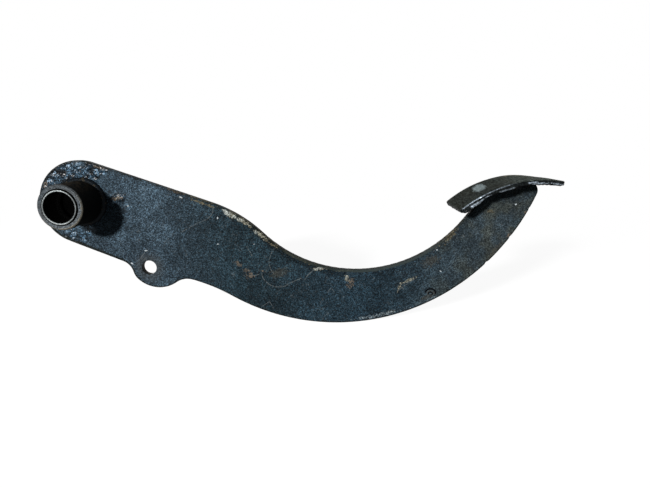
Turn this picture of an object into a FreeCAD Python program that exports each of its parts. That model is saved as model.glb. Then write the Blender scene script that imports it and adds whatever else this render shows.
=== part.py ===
import FreeCAD, Part
import math
import os

import Sketcher

# Brake pedal, in millimetres.
# The origin is on the pivot axis, half-way through the thickness of the arm.
# X runs from the pivot towards the foot pad, Y through the plate away from the
# long side of the tube, and Z up, so that the foot pad faces up.

# Driving dimensions: alias, value, meaning.
SIZES = [
    ("plate_thickness", 5.0, "flat steel of the arm"),
    ("plate_edge_round", 0.8, "broken edge round the outline of the arm"),
    ("eye_x", -1.0, "centre of the arm's round end, from the pivot axis"),
    ("eye_z", -0.7, "the same, upwards"),
    ("eye_radius", 28.6, "round end of the arm, about the pivot tube"),
    ("top_slope", 18.7, "fall of the straight top edge, degrees"),
    ("bottom_slope", 21.7, "fall of the straight bottom edge, degrees"),
    ("shoulder_radius", 94.0, "outward curve that leads the top edge into the bend"),
    ("bend_x", 187.1, "lowest point of the inner edge of the bend"),
    ("bend_depth", 47.5, "its depth below the pivot axis"),
    ("bend_radius", 93.2, "inner edge of the bend"),
    ("bend_end", 25.0, "where the inner edge ends, degrees below the bend's centre"),
    ("belly_x", 172.9, "lowest point of the outer edge of the bend"),
    ("belly_depth", 86.2, "its depth below the pivot axis"),
    ("belly_radius", 145.4, "outer edge of the bend, on the lug's side of that point"),
    ("seat_length", 32.0, "far end of the arm, along the curve that the foot pad sits on"),
    ("tip_radius", 6.0, "rounded corner between that end and the outer edge"),
    ("neck_depth", 50.2, "crest of the hollow lower edge behind the lug"),
    ("neck_radius", 121.7, "hollow lower edge behind the lug"),
    ("rod_hole_x", 42.7, "push rod hole, from the pivot axis"),
    ("rod_hole_depth", 46.2, "its depth below the pivot axis"),
    ("rod_hole_diameter", 10.0, "hole for the push rod's pin"),
    ("lug_radius", 12.0, "nose of the lug, about the push rod hole"),
    ("heel_radius", 21.1, "flatter back of the lug, which runs out of the nose"),
    ("heel_turn", 46.9, "direction from the hole to the heel's centre, degrees"),
    ("lug_front_hollow", 11.1, "hollow between the bottom edge and the lug"),
    ("lug_back_hollow", 13.7, "hollow between the lug and the neck"),
    ("tube_diameter", 29.0, "outside of the pivot tube"),
    ("tube_front_length", 29.5, "from the arm's front face to the tube's front end"),
    ("tube_back_length", 3.0, "from the arm's back face to the tube's back end"),
    ("tube_clearance", 0.1, "between the tube and its hole in the arm, on the radius"),
    ("tube_edge_break", 0.8, "chamfers on the ends of the tube"),
    ("bush_bore", 20.0, "diameter that turns on the pivot shaft"),
    ("bush_wall", 1.0, "wall of the two pressed-in bushes"),
    ("bush_length", 15.0, "length of each bush"),
    ("bush_proud", 1.0, "how far each bush stands out of the tube"),
    ("bush_edge_break", 0.25, "chamfers on the ends of the bushes"),
    ("tube_weld_leg", 3.0, "fillet weld round the front of the tube"),
    ("back_weld_leg", 2.5, "fillet weld round the back of the tube"),
    ("pad_radius", 80.0, "top face of the curved foot pad"),
    ("pad_thickness", 3.0, "sheet of the foot pad"),
    ("pad_width", 40.0, "across the arm"),
    ("pad_length", 71.4, "along the curve of the top face"),
    ("pad_overhang", 21.6, "part of that length in front of the arm's inner edge"),
    ("pad_seat_turn", 115.7, "direction from the pad's curve centre to the inner edge, degrees"),
    ("pad_corner_radius", 2.0, "corners of the foot pad, seen from above"),
    ("pad_edge_round", 1.0, "broken edge round the top of the foot pad"),
    ("pad_weld_leg", 3.0, "fillet welds under the foot pad"),
    ("pad_weld_inset", 2.0, "bare length at each end of those welds"),
]
SHEET_NAME = "sizes"
NODE_FOLDER = "parts"
FULL_TURN = 360.0
FRONT = -1
BACK = 1

doc = FreeCAD.newDocument("brake_pedal")
sheet = doc.addObject("Spreadsheet::Sheet", SHEET_NAME)
for row, (alias, value, meaning) in enumerate(SIZES, start=1):
    sheet.set("A%d" % row, alias)
    sheet.set("B%d" % row, str(value))
    sheet.set("C%d" % row, meaning)
    sheet.setAlias("B%d" % row, alias)
doc.recompute()


def size(alias):
    """Value of one driving dimension, read from the sheet."""
    return float(sheet.get(alias))


# Plane geometry. A point of the side view is a vector (X, Z, 0).
def vec(x, z):
    return FreeCAD.Vector(x, z, 0)


def polar(length, degrees):
    return vec(length * math.cos(math.radians(degrees)), length * math.sin(math.radians(degrees)))


def turn_of(vector):
    return math.degrees(math.atan2(vector.y, vector.x))


def towards(start, end, length):
    """Point that lies a length from start, in the direction of end."""
    return start + (end - start).normalize() * length


def circle_meets(centre_1, radius_1, centre_2, radius_2):
    """The two points that two circles share, the one further right first."""
    span = centre_2 - centre_1
    along = (span.Length**2 + radius_1**2 - radius_2**2) / (2 * span.Length)
    off = math.sqrt(radius_1**2 - along**2)
    across = vec(-span.y, span.x).normalize() * off
    foot = towards(centre_1, centre_2, along)
    return sorted([foot + across, foot - across], key=lambda point: -point.x)


def line_meets_circle(point, direction, centre, radius):
    """First point along a line that lies on a circle."""
    offset = point - centre
    half = offset.dot(direction)
    root = math.sqrt(half**2 - offset.dot(offset) + radius**2)
    return point + direction * (-half - root)


# Sketches and bodies.
def origin_feature(body, role):
    for feature in body.Origin.OriginFeatures:
        if feature.Role == role:
            return feature
    raise ValueError("no origin feature " + role)


def new_body(name):
    body = doc.addObject("PartDesign::Body", name)
    body.Label = name
    return body


def new_sketch(body, name, plane):
    sketch = body.newObject("Sketcher::SketchObject", name)
    sketch.AttachmentSupport = [(origin_feature(body, plane), "")]
    sketch.MapMode = "FlatFace"
    return sketch


def bind(thing, path, expression):
    """Ties a property to an expression in which each word is a cell of the sheet."""
    words = {alias for alias, value, meaning in SIZES}
    parts = []
    word = ""
    for letter in expression + " ":
        if letter.isalnum() or letter == "_":
            word += letter
            continue
        parts.append(SHEET_NAME + "." + word if word in words else word)
        parts.append(letter)
        word = ""
    thing.setExpression(path, "".join(parts).strip())


def measure(sketch, kind, refs, value, name, expression):
    """Adds a named dimension to a sketch and ties it to the sheet."""
    index = sketch.addConstraint(Sketcher.Constraint(kind, *refs, value))
    sketch.renameConstraint(index, name)
    bind(sketch, "Constraints." + name, expression)


class Chain:
    """Closed outline of lines and arcs, drawn in order and joined end to end.

    In a sketch, point 1 of a line or an arc is its start, 2 its end and 3 its centre.
    """

    def __init__(self, sketch):
        self.sketch = sketch
        self.items = []

    def line(self, start, end, smooth=True):
        index = self.sketch.addGeometry(Part.LineSegment(start, end), False)
        self.items.append((index, 1, 2, smooth))
        return index

    def arc(self, centre, start, end, clockwise, smooth=True):
        """smooth says that the arc leaves the piece before it with no corner."""
        circle = Part.Circle(centre, FreeCAD.Vector(0, 0, 1), (start - centre).Length)
        first, last = (end, start) if clockwise else (start, end)
        angles = [math.radians(turn_of(point - centre)) for point in (first, last)]
        index = self.sketch.addGeometry(Part.ArcOfCircle(circle, *angles), False)
        ends = (2, 1) if clockwise else (1, 2)
        self.items.append((index, *ends, smooth))
        return index

    def close(self):
        for before, after in zip(self.items[-1:] + self.items[:-1], self.items):
            kind = "Tangent" if after[3] else "Coincident"
            joint = Sketcher.Constraint(kind, before[0], before[2], after[0], after[1])
            self.sketch.addConstraint(joint)


def set_radius(sketch, item, name, expression):
    value = sketch.Geometry[item].Radius
    measure(sketch, "Radius", (item,), value, name, expression)


def set_place(sketch, item, name, x_expression, z_expression):
    """Fixes an arc's or a circle's centre from the origin."""
    centre = sketch.Geometry[item].Center
    for kind, value, letter, expression in (
        ("DistanceX", centre.x, "x", x_expression),
        ("DistanceY", centre.y, "z", z_expression),
    ):
        if expression == "0":
            axis = -2 if letter == "x" else -1
            sketch.addConstraint(Sketcher.Constraint("PointOnObject", item, 3, axis))
            continue
        measure(sketch, kind, (-1, 1, item, 3), value, name + "_" + letter, expression)


def set_ray(sketch, start, end, degrees, name, expression):
    """Construction line between two points of the sketch, at a driven angle."""
    places = []
    for item, position in (start, end):
        places.append(sketch.getPoint(item, position))
    ray = sketch.addGeometry(Part.LineSegment(*places), True)
    sketch.addConstraint(Sketcher.Constraint("Coincident", ray, 1, *start))
    sketch.addConstraint(Sketcher.Constraint("Coincident", ray, 2, *end))
    measure(sketch, "Angle", (ray,), math.radians(degrees), name, expression)


def pad_sketch(body, name, sketch, length_expression):
    """Solid of even thickness, half on each side of its sketch."""
    pad = body.newObject("PartDesign::Pad", name)
    pad.Profile = sketch
    pad.SideType = "Symmetric"
    bind(pad, "Length", length_expression)
    return pad


def cut_circle(body, name, x_expression, z_expression, x, z, diameter, expression):
    """Round hole through the whole body, along Y."""
    sketch = new_sketch(body, name + "_sketch", "XZ_Plane")
    circle = Part.Circle(vec(x, z), FreeCAD.Vector(0, 0, 1), diameter / 2)
    item = sketch.addGeometry(circle, False)
    set_place(sketch, item, "centre", x_expression, z_expression)
    measure(sketch, "Diameter", (item,), diameter, "diameter", expression)
    before = body.Tip
    doc.recompute()
    volume_before = before.Shape.Volume
    pocket = body.newObject("PartDesign::Pocket", name)
    pocket.Profile = sketch
    pocket.SideType = "Symmetric"
    bind(pocket, "Length", "4 * plate_thickness")
    doc.recompute()
    removed = volume_before - pocket.Shape.Volume
    print(name, "removed", round(removed, 1), "cubic mm")
    if removed <= 0:
        raise ValueError(name + " cut nothing")


def faces_across(shape, direction):
    """Names of the flat faces of a shape whose normal lies along a direction."""
    names = []
    for number, face in enumerate(shape.Faces, start=1):
        if not isinstance(face.Surface, Part.Plane):
            continue
        if abs(face.normalAt(0, 0).dot(direction)) > 0.999:
            names.append("Face%d" % number)
    return names


def ring_body(name, points, expressions):
    """Turned ring: a closed profile of points (Y, radius), spun about the Y axis.

    Each corner is placed by two driven distances from the pivot's centre.
    """
    body = new_body(name)
    sketch = new_sketch(body, name + "_profile", "YZ_Plane")
    chain = Chain(sketch)
    corners = [vec(*point) for point in points]
    for start, end in zip(corners, corners[1:] + corners[:1]):
        chain.line(start, end, smooth=False)
    chain.close()
    for number, (corner, (along, radius)) in enumerate(zip(corners, expressions)):
        ends = (-1, 1, number, 1)
        measure(sketch, "DistanceX", ends, corner.x, "along_%d" % number, along)
        measure(sketch, "DistanceY", ends, corner.y, "radius_%d" % number, radius)
    ring = body.newObject("PartDesign::Revolution", name + "_turned")
    ring.Profile = sketch
    ring.ReferenceAxis = (sketch, ["H_Axis"])
    ring.Angle = FULL_TURN
    return body


# The curve of the foot pad starts where the inner edge of the bend ends.
BEND_CENTRE = vec(size("bend_x"), size("bend_radius") - size("bend_depth"))
SEAT_RADIUS = size("pad_radius") - size("pad_thickness")
SEAT_START = BEND_CENTRE + polar(size("bend_radius"), -size("bend_end"))
PAD_CENTRE = SEAT_START - polar(SEAT_RADIUS, size("pad_seat_turn"))
SEAT_END_TURN = size("pad_seat_turn") - math.degrees(size("seat_length") / SEAT_RADIUS)
SEAT_END = PAD_CENTRE + polar(SEAT_RADIUS, SEAT_END_TURN)
TIP_CENTRE = towards(PAD_CENTRE, SEAT_END, SEAT_RADIUS - size("tip_radius"))

# The outer edge of the bend is two arcs that share an upright normal at its lowest point.
# The second one runs on to the rounded tip, which settles its radius.
BELLY_LOW = vec(size("belly_x"), -size("belly_depth"))
BELLY_CENTRE = BELLY_LOW + vec(0, size("belly_radius"))
TIP_REACH = TIP_CENTRE - BELLY_LOW
RISE_RADIUS = (TIP_REACH.dot(TIP_REACH) - size("tip_radius") ** 2) / (
    2 * (TIP_REACH.y - size("tip_radius"))
)
RISE_CENTRE = BELLY_LOW + vec(0, RISE_RADIUS)


def pedal_arm():
    """S-shaped arm cut from flat steel, with the lug for the push rod."""
    body = new_body("pedal_arm")
    sketch = new_sketch(body, "arm_outline", "XZ_Plane")
    eye = vec(size("eye_x"), size("eye_z"))
    eye_radius = size("eye_radius")
    bend_radius = size("bend_radius")
    belly_radius = size("belly_radius")

    # Top edge: a straight, the shoulder and the inner edge of the bend.
    top_run = polar(1, -size("top_slope"))
    top_normal = polar(1, 90 - size("top_slope"))
    shoulder_radius = size("shoulder_radius")
    shoulder = line_meets_circle(
        eye + top_normal * (eye_radius - shoulder_radius), top_run,
        BEND_CENTRE, bend_radius + shoulder_radius,
    )
    top_start = eye + top_normal * eye_radius
    top_end = shoulder + top_normal * shoulder_radius
    bend_start = towards(BEND_CENTRE, shoulder, bend_radius)

    # Lower edge: the belly of the bend, the hollow neck and the lug.
    neck_radius = size("neck_radius")
    neck_z = -size("neck_depth") - neck_radius
    neck_reach = math.sqrt((belly_radius + neck_radius) ** 2 - (BELLY_CENTRE.y - neck_z) ** 2)
    neck = vec(BELLY_CENTRE.x - neck_reach, neck_z)
    rod_hole = vec(size("rod_hole_x"), -size("rod_hole_depth"))
    lug_radius = size("lug_radius")
    heel_radius = size("heel_radius")
    heel = rod_hole + polar(heel_radius - lug_radius, size("heel_turn"))
    back_radius = size("lug_back_hollow")
    back_hollow = circle_meets(heel, heel_radius + back_radius, neck, neck_radius - back_radius)[0]
    front_radius = size("lug_front_hollow")
    bottom_run = polar(1, -size("bottom_slope"))
    bottom_normal = polar(1, 90 - size("bottom_slope"))
    front_hollow = line_meets_circle(
        eye - bottom_normal * (eye_radius + front_radius), bottom_run,
        rod_hole, lug_radius + front_radius,
    )
    bottom_start = front_hollow + bottom_normal * front_radius
    bottom_end = eye - bottom_normal * eye_radius

    chain = Chain(sketch)
    eye_arc = chain.arc(eye, bottom_end, top_start, True)
    top_line = chain.line(top_start, top_end)
    shoulder_arc = chain.arc(shoulder, top_end, bend_start, True)
    bend_arc = chain.arc(BEND_CENTRE, bend_start, SEAT_START, False)
    seat_arc = chain.arc(PAD_CENTRE, SEAT_START, SEAT_END, True, smooth=False)
    rise_start = towards(RISE_CENTRE, TIP_CENTRE, RISE_RADIUS)
    tip_arc = chain.arc(TIP_CENTRE, SEAT_END, rise_start, True)
    chain.arc(RISE_CENTRE, rise_start, BELLY_LOW, True)
    belly_end = towards(BELLY_CENTRE, neck, belly_radius)
    belly_arc = chain.arc(BELLY_CENTRE, BELLY_LOW, belly_end, True)
    neck_end = towards(neck, back_hollow, neck_radius)
    neck_arc = chain.arc(neck, belly_end, neck_end, False)
    heel_start = towards(heel, back_hollow, heel_radius)
    back_arc = chain.arc(back_hollow, neck_end, heel_start, False)
    nose_start = towards(heel, rod_hole, heel_radius)
    heel_arc = chain.arc(heel, heel_start, nose_start, True)
    nose_end = towards(rod_hole, front_hollow, lug_radius)
    nose_arc = chain.arc(rod_hole, nose_start, nose_end, True)
    front_arc = chain.arc(front_hollow, nose_end, bottom_start, False)
    bottom_line = chain.line(bottom_start, bottom_end)
    chain.close()

    for item, name, expression in (
        (eye_arc, "eye_radius", "eye_radius"),
        (shoulder_arc, "shoulder_radius", "shoulder_radius"),
        (bend_arc, "bend_radius", "bend_radius"),
        (seat_arc, "seat_radius", "pad_radius - pad_thickness"),
        (tip_arc, "tip_radius", "tip_radius"),
        (belly_arc, "belly_radius", "belly_radius"),
        (neck_arc, "neck_radius", "neck_radius"),
        (back_arc, "back_radius", "lug_back_hollow"),
        (heel_arc, "heel_radius", "heel_radius"),
        (nose_arc, "nose_radius", "lug_radius"),
        (front_arc, "front_radius", "lug_front_hollow"),
    ):
        set_radius(sketch, item, name, expression)
    set_place(sketch, eye_arc, "eye", "eye_x", "eye_z")
    set_place(sketch, bend_arc, "bend", "bend_x", "bend_radius - bend_depth")
    set_place(sketch, belly_arc, "belly", "belly_x", "belly_radius - belly_depth")
    set_place(sketch, nose_arc, "rod_hole", "rod_hole_x", "-rod_hole_depth")
    neck_to_origin = (-1, 1, neck_arc, 3)
    measure(sketch, "DistanceY", neck_to_origin, neck_z, "neck_z", "-neck_depth - neck_radius")
    top_angle = math.radians(-size("top_slope"))
    measure(sketch, "Angle", (top_line,), top_angle, "top_slope", "-top_slope")
    bottom_angle = math.radians(180 - size("bottom_slope"))
    measure(sketch, "Angle", (bottom_line,), bottom_angle, "bottom_slope", "180 - bottom_slope")
    # The seat and the belly run clockwise, so each starts at its point 2 and ends at its point 1.
    lowest = Sketcher.Constraint("Vertical", belly_arc, 3, belly_arc, 2)
    sketch.addConstraint(lowest)
    seat_start = (seat_arc, 2)
    seat_end = (seat_arc, 1)
    set_ray(sketch, (bend_arc, 3), seat_start, -size("bend_end"), "bend_end", "-bend_end")
    set_ray(sketch, (seat_arc, 3), seat_start, size("pad_seat_turn"), "seat_start", "pad_seat_turn")
    end_text = "pad_seat_turn - seat_length / (pad_radius - pad_thickness) * 180 / pi"
    set_ray(sketch, (seat_arc, 3), seat_end, SEAT_END_TURN, "seat_end", end_text)
    heel_turn = size("heel_turn")
    set_ray(sketch, (nose_arc, 3), (heel_arc, 3), heel_turn, "heel_turn", "heel_turn")

    plate = pad_sketch(body, "arm_plate", sketch, "plate_thickness")
    doc.recompute()
    print("arm outline fully constrained:", sketch.FullyConstrained)
    edges = body.newObject("PartDesign::Fillet", "arm_edges")
    edges.Base = (plate, faces_across(plate.Shape, FreeCAD.Vector(0, 1, 0)))
    bind(edges, "Radius", "plate_edge_round")
    cut_circle(
        body, "tube_hole", "0", "0", 0, 0,
        size("tube_diameter") + 2 * size("tube_clearance"), "tube_diameter + 2 * tube_clearance",
    )
    cut_circle(
        body, "rod_hole", "rod_hole_x", "-rod_hole_depth", rod_hole.x, rod_hole.y,
        size("rod_hole_diameter"), "rod_hole_diameter",
    )
    return body


def pivot_tube():
    """Thick tube that passes through the arm and is welded to it."""
    half = size("plate_thickness") / 2
    front = -half - size("tube_front_length")
    back = half + size("tube_back_length")
    outer = size("tube_diameter") / 2
    inner = size("bush_bore") / 2 + size("bush_wall")
    cut = size("tube_edge_break")
    front_text = "(-plate_thickness / 2 - tube_front_length)"
    back_text = "(plate_thickness / 2 + tube_back_length)"
    outer_text = "tube_diameter / 2"
    inner_text = "(bush_bore / 2 + bush_wall)"
    points = [
        (front + cut, inner), (front, inner + cut), (front, outer - cut), (front + cut, outer),
        (back - cut, outer), (back, outer - cut), (back, inner + cut), (back - cut, inner),
    ]
    break_text = "tube_edge_break"
    expressions = [
        (front_text + " + " + break_text, inner_text),
        (front_text, inner_text + " + " + break_text),
        (front_text, outer_text + " - " + break_text),
        (front_text + " + " + break_text, outer_text),
        (back_text + " - " + break_text, outer_text),
        (back_text, outer_text + " - " + break_text),
        (back_text, inner_text + " + " + break_text),
        (back_text + " - " + break_text, inner_text),
    ]
    return ring_body("pivot_tube", points, expressions)


def bush(name, side):
    """Plain bush pressed into one end of the tube, standing a little proud."""
    length_alias = "tube_front_length" if side == FRONT else "tube_back_length"
    end = size("plate_thickness") / 2 + size(length_alias) + size("bush_proud")
    inside = end - size("bush_length")
    bore = size("bush_bore") / 2
    outer = bore + size("bush_wall")
    cut = size("bush_edge_break")
    sign_text = "-1" if side == FRONT else "1"
    end_text = "(plate_thickness / 2 + " + length_alias + " + bush_proud)"
    stations = [
        (inside, bore), (end - cut, bore), (end, bore + cut),
        (end, outer - cut), (end - cut, outer), (inside, outer),
    ]
    texts = [
        ("(" + end_text + " - bush_length)", "bush_bore / 2"),
        ("(" + end_text + " - bush_edge_break)", "bush_bore / 2"),
        (end_text, "bush_bore / 2 + bush_edge_break"),
        (end_text, "bush_bore / 2 + bush_wall - bush_edge_break"),
        ("(" + end_text + " - bush_edge_break)", "bush_bore / 2 + bush_wall"),
        ("(" + end_text + " - bush_length)", "bush_bore / 2 + bush_wall"),
    ]
    points = [(side * along, radius) for along, radius in stations]
    expressions = [(sign_text + " * " + along, radius) for along, radius in texts]
    return ring_body(name, points, expressions)


def tube_weld(name, side, leg_alias):
    """Fillet weld between the tube and one face of the arm."""
    face = size("plate_thickness") / 2
    root = size("tube_diameter") / 2
    leg = size(leg_alias)
    sign_text = "-1" if side == FRONT else "1"
    points = [(side * face, root), (side * (face + leg), root), (side * face, root + leg)]
    face_text = sign_text + " * plate_thickness / 2"
    expressions = [
        (face_text, "tube_diameter / 2"),
        (sign_text + " * (plate_thickness / 2 + " + leg_alias + ")", "tube_diameter / 2"),
        (face_text, "tube_diameter / 2 + " + leg_alias),
    ]
    return ring_body(name, points, expressions)


def place_on_pad_curve(body):
    """Moves a body from the origin to the centre of the foot pad's curve."""
    seat = "(pad_radius - pad_thickness)"
    base_x = "bend_x + bend_radius * cos(bend_end) - " + seat + " * cos(pad_seat_turn)"
    base_z = "bend_radius - bend_depth - bend_radius * sin(bend_end) - " + seat + " * sin(pad_seat_turn)"
    bind(body, "Placement.Base.x", base_x)
    bind(body, "Placement.Base.z", base_z)


def pad_plate():
    """Curved foot pad, with its hollow side down on the arm."""
    body = new_body("pad_plate")
    sketch = new_sketch(body, "pad_section", "XZ_Plane")
    top = size("pad_radius")
    first = size("pad_seat_turn") + math.degrees(size("pad_overhang") / top)
    last = first - math.degrees(size("pad_length") / top)
    centre = vec(0, 0)
    chain = Chain(sketch)
    top_arc = chain.arc(centre, polar(top, first), polar(top, last), True, smooth=False)
    last_end = chain.line(polar(top, last), polar(SEAT_RADIUS, last), smooth=False)
    seat_arc = chain.arc(
        centre, polar(SEAT_RADIUS, last), polar(SEAT_RADIUS, first), False, smooth=False,
    )
    first_end = chain.line(polar(SEAT_RADIUS, first), polar(top, first), smooth=False)
    chain.close()
    sketch.addConstraint(Sketcher.Constraint("Coincident", top_arc, 3, -1, 1))
    sketch.addConstraint(Sketcher.Constraint("Coincident", seat_arc, 3, -1, 1))
    set_radius(sketch, top_arc, "top_radius", "pad_radius")
    set_radius(sketch, seat_arc, "seat_radius", "pad_radius - pad_thickness")
    first_text = "pad_seat_turn + pad_overhang / pad_radius * 180 / pi"
    last_text = first_text + " - pad_length / pad_radius * 180 / pi"
    for end, seat_corner, turn, name, text in (
        (first_end, (first_end, 1), first, "first_end", first_text),
        (last_end, (last_end, 2), last, "last_end", last_text),
    ):
        set_ray(sketch, (-1, 1), seat_corner, turn, name, text)
        ray = sketch.GeometryCount - 1
        sketch.addConstraint(Sketcher.Constraint("Parallel", ray, end))
    plate = pad_sketch(body, "pad_sheet", sketch, "pad_width")
    doc.recompute()
    print("pad section fully constrained:", sketch.FullyConstrained)

    # The corners are the four short straight edges that cross the sheet.
    corners = []
    for number, edge in enumerate(plate.Shape.Edges, start=1):
        straight = isinstance(edge.Curve, Part.Line)
        if straight and abs(edge.Length - size("pad_thickness")) < 0.01:
            corners.append("Edge%d" % number)
    rounded = body.newObject("PartDesign::Fillet", "pad_corners")
    rounded.Base = (plate, corners)
    bind(rounded, "Radius", "pad_corner_radius")
    doc.recompute()
    top_faces = []
    for number, face in enumerate(rounded.Shape.Faces, start=1):
        surface = face.Surface
        if isinstance(surface, Part.Cylinder) and abs(surface.Radius - top) < 0.01:
            top_faces.append("Face%d" % number)
    broken = body.newObject("PartDesign::Fillet", "pad_edge")
    broken.Base = (rounded, top_faces)
    bind(broken, "Radius", "pad_edge_round")
    place_on_pad_curve(body)
    return body


def pad_weld(name, side):
    """Fillet weld along the corner between the arm and the foot pad."""
    body = new_body(name)
    sketch = new_sketch(body, name + "_section", "YZ_Plane")
    face = side * size("plate_thickness") / 2
    leg = size("pad_weld_leg")
    sign_text = "-1" if side == FRONT else "1"
    corners = [vec(face, SEAT_RADIUS), vec(face + side * leg, SEAT_RADIUS), vec(face, SEAT_RADIUS - leg)]
    chain = Chain(sketch)
    for start, end in zip(corners, corners[1:] + corners[:1]):
        chain.line(start, end, smooth=False)
    chain.close()
    face_text = sign_text + " * plate_thickness / 2"
    seat_text = "pad_radius - pad_thickness"
    texts = [
        (face_text, seat_text),
        (sign_text + " * (plate_thickness / 2 + pad_weld_leg)", seat_text),
        (face_text, seat_text + " - pad_weld_leg"),
    ]
    for number, (corner, (along, radius)) in enumerate(zip(corners, texts)):
        ends = (-1, 1, number, 1)
        measure(sketch, "DistanceX", ends, corner.x, "along_%d" % number, along)
        measure(sketch, "DistanceY", ends, corner.y, "radius_%d" % number, radius)
    inset = math.degrees(size("pad_weld_inset") / SEAT_RADIUS)
    first = size("pad_seat_turn") - inset
    last = SEAT_END_TURN + inset
    bead = body.newObject("PartDesign::Revolution", name + "_bead")
    bead.Profile = sketch
    bead.ReferenceAxis = (sketch, ["H_Axis"])
    bead.Angle = first - last
    # A turn about Y takes Z towards X, so the bead starts at its first angle and runs on.
    body.Placement = FreeCAD.Placement(
        FreeCAD.Vector(0, 0, 0), FreeCAD.Rotation(FreeCAD.Vector(0, 1, 0), 90 - first),
    )
    place_on_pad_curve(body)
    return body


NODES = [
    pedal_arm(),
    pivot_tube(),
    bush("bush_front", FRONT),
    bush("bush_back", BACK),
    tube_weld("tube_weld_front", FRONT, "tube_weld_leg"),
    tube_weld("tube_weld_back", BACK, "back_weld_leg"),
    pad_plate(),
    pad_weld("pad_weld_front", FRONT),
    pad_weld("pad_weld_back", BACK),
]
doc.recompute()

# Nothing is written before every object and every solid has been looked at.
for thing in doc.Objects:
    faults = {"Invalid", "Error"} & set(thing.State)
    if faults:
        raise ValueError(thing.Label + " failed: " + ", ".join(sorted(faults)))
for node in NODES:
    shape = node.Shape
    if shape.isNull() or not shape.isValid() or len(shape.Solids) != 1:
        raise ValueError(node.Label + " is not one valid solid")
    box = shape.optimalBoundingBox(False, False)
    print(
        "%-16s %9.1f cubic mm, X %.1f to %.1f, Y %.1f to %.1f, Z %.1f to %.1f"
        % (node.Label, shape.Volume, box.XMin, box.XMax, box.YMin, box.YMax, box.ZMin, box.ZMax)
    )

os.makedirs(NODE_FOLDER, exist_ok=True)
for node in NODES:
    node.Shape.exportStep(os.path.join(NODE_FOLDER, node.Label + ".step"))
print(len(NODES), "solids written")
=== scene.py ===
# %% [markdown]
# # A worn steel brake pedal
# The pedal is a flat steel arm cut to an S shape. A bushed tube is welded through its round end,
# a lug with a hole hangs under it, and a curved foot pad is welded on the far end.
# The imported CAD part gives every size. Here each piece gets its finish, and the pieces whose
# surface is rough, such as the painted plate and the welds, are built again with real relief.

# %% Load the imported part
import functools
import math
from types import SimpleNamespace

import bmesh
import bpy
import numpy as np
from mathutils import Matrix, Vector, noise
from mathutils.geometry import delaunay_2d_cdt, interpolate_bezier


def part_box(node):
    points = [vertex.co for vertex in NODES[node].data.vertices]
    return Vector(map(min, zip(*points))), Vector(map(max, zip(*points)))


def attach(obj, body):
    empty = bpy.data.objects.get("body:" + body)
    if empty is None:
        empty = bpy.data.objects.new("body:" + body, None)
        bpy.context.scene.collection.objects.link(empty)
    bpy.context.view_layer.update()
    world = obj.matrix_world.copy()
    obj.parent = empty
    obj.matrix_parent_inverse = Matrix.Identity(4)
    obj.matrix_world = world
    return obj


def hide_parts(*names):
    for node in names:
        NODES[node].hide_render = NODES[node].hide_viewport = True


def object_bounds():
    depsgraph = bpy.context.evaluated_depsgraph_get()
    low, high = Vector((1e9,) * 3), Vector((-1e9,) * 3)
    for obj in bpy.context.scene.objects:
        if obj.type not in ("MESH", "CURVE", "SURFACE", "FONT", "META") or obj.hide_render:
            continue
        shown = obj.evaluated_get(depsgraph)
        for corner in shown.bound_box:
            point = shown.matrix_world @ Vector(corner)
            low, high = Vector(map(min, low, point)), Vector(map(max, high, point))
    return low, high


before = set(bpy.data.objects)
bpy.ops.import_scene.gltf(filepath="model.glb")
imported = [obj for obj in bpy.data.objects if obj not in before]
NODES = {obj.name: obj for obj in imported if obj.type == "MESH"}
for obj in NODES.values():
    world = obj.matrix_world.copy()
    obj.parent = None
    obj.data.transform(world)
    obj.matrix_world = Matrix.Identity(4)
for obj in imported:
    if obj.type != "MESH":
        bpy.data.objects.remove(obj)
cad_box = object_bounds()
MM = 0.001
print("pieces:", ", ".join(sorted(NODES)))
print("size in mm:", [round((high - low) / MM, 1) for low, high in zip(*cad_box)])

# %% [markdown]
# ## Camera
# The picture was taken from close by with a wide lens, looking a little down on the arm.
# A wide lens near the object makes the tube's near end shift against its base, so the distance
# matters more than the framing. The camera therefore has a real place, and no shift.

# %% Place the camera
LENS = 27.97
SENSOR = 36.0
CAMERA_PLACE = (0.170415, -0.3435, 0.041756)
CAMERA_PITCH = 11.713
CAMERA_YAW = 0.8
camera_data = bpy.data.cameras.new("camera")
camera_data.sensor_fit = "HORIZONTAL"
camera_data.sensor_width = SENSOR
camera_data.lens = LENS
camera_data.clip_start = 0.01
camera = bpy.data.objects.new("camera", camera_data)
camera.location = CAMERA_PLACE
camera.rotation_euler = (math.radians(90 - CAMERA_PITCH), 0, math.radians(CAMERA_YAW))
bpy.context.scene.collection.objects.link(camera)
bpy.context.scene.camera = camera
print("camera", round(camera.location.length, 3), "m from the pivot")

# %% [markdown]
# ## A small helper for node trees
# Every material and every Geometry Nodes tree below is a list of nodes and links.
# The helper adds a node, sets its fields and feeds its inputs in one call. An input takes a plain
# value, or the output of another node, which then becomes a link.

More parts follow.
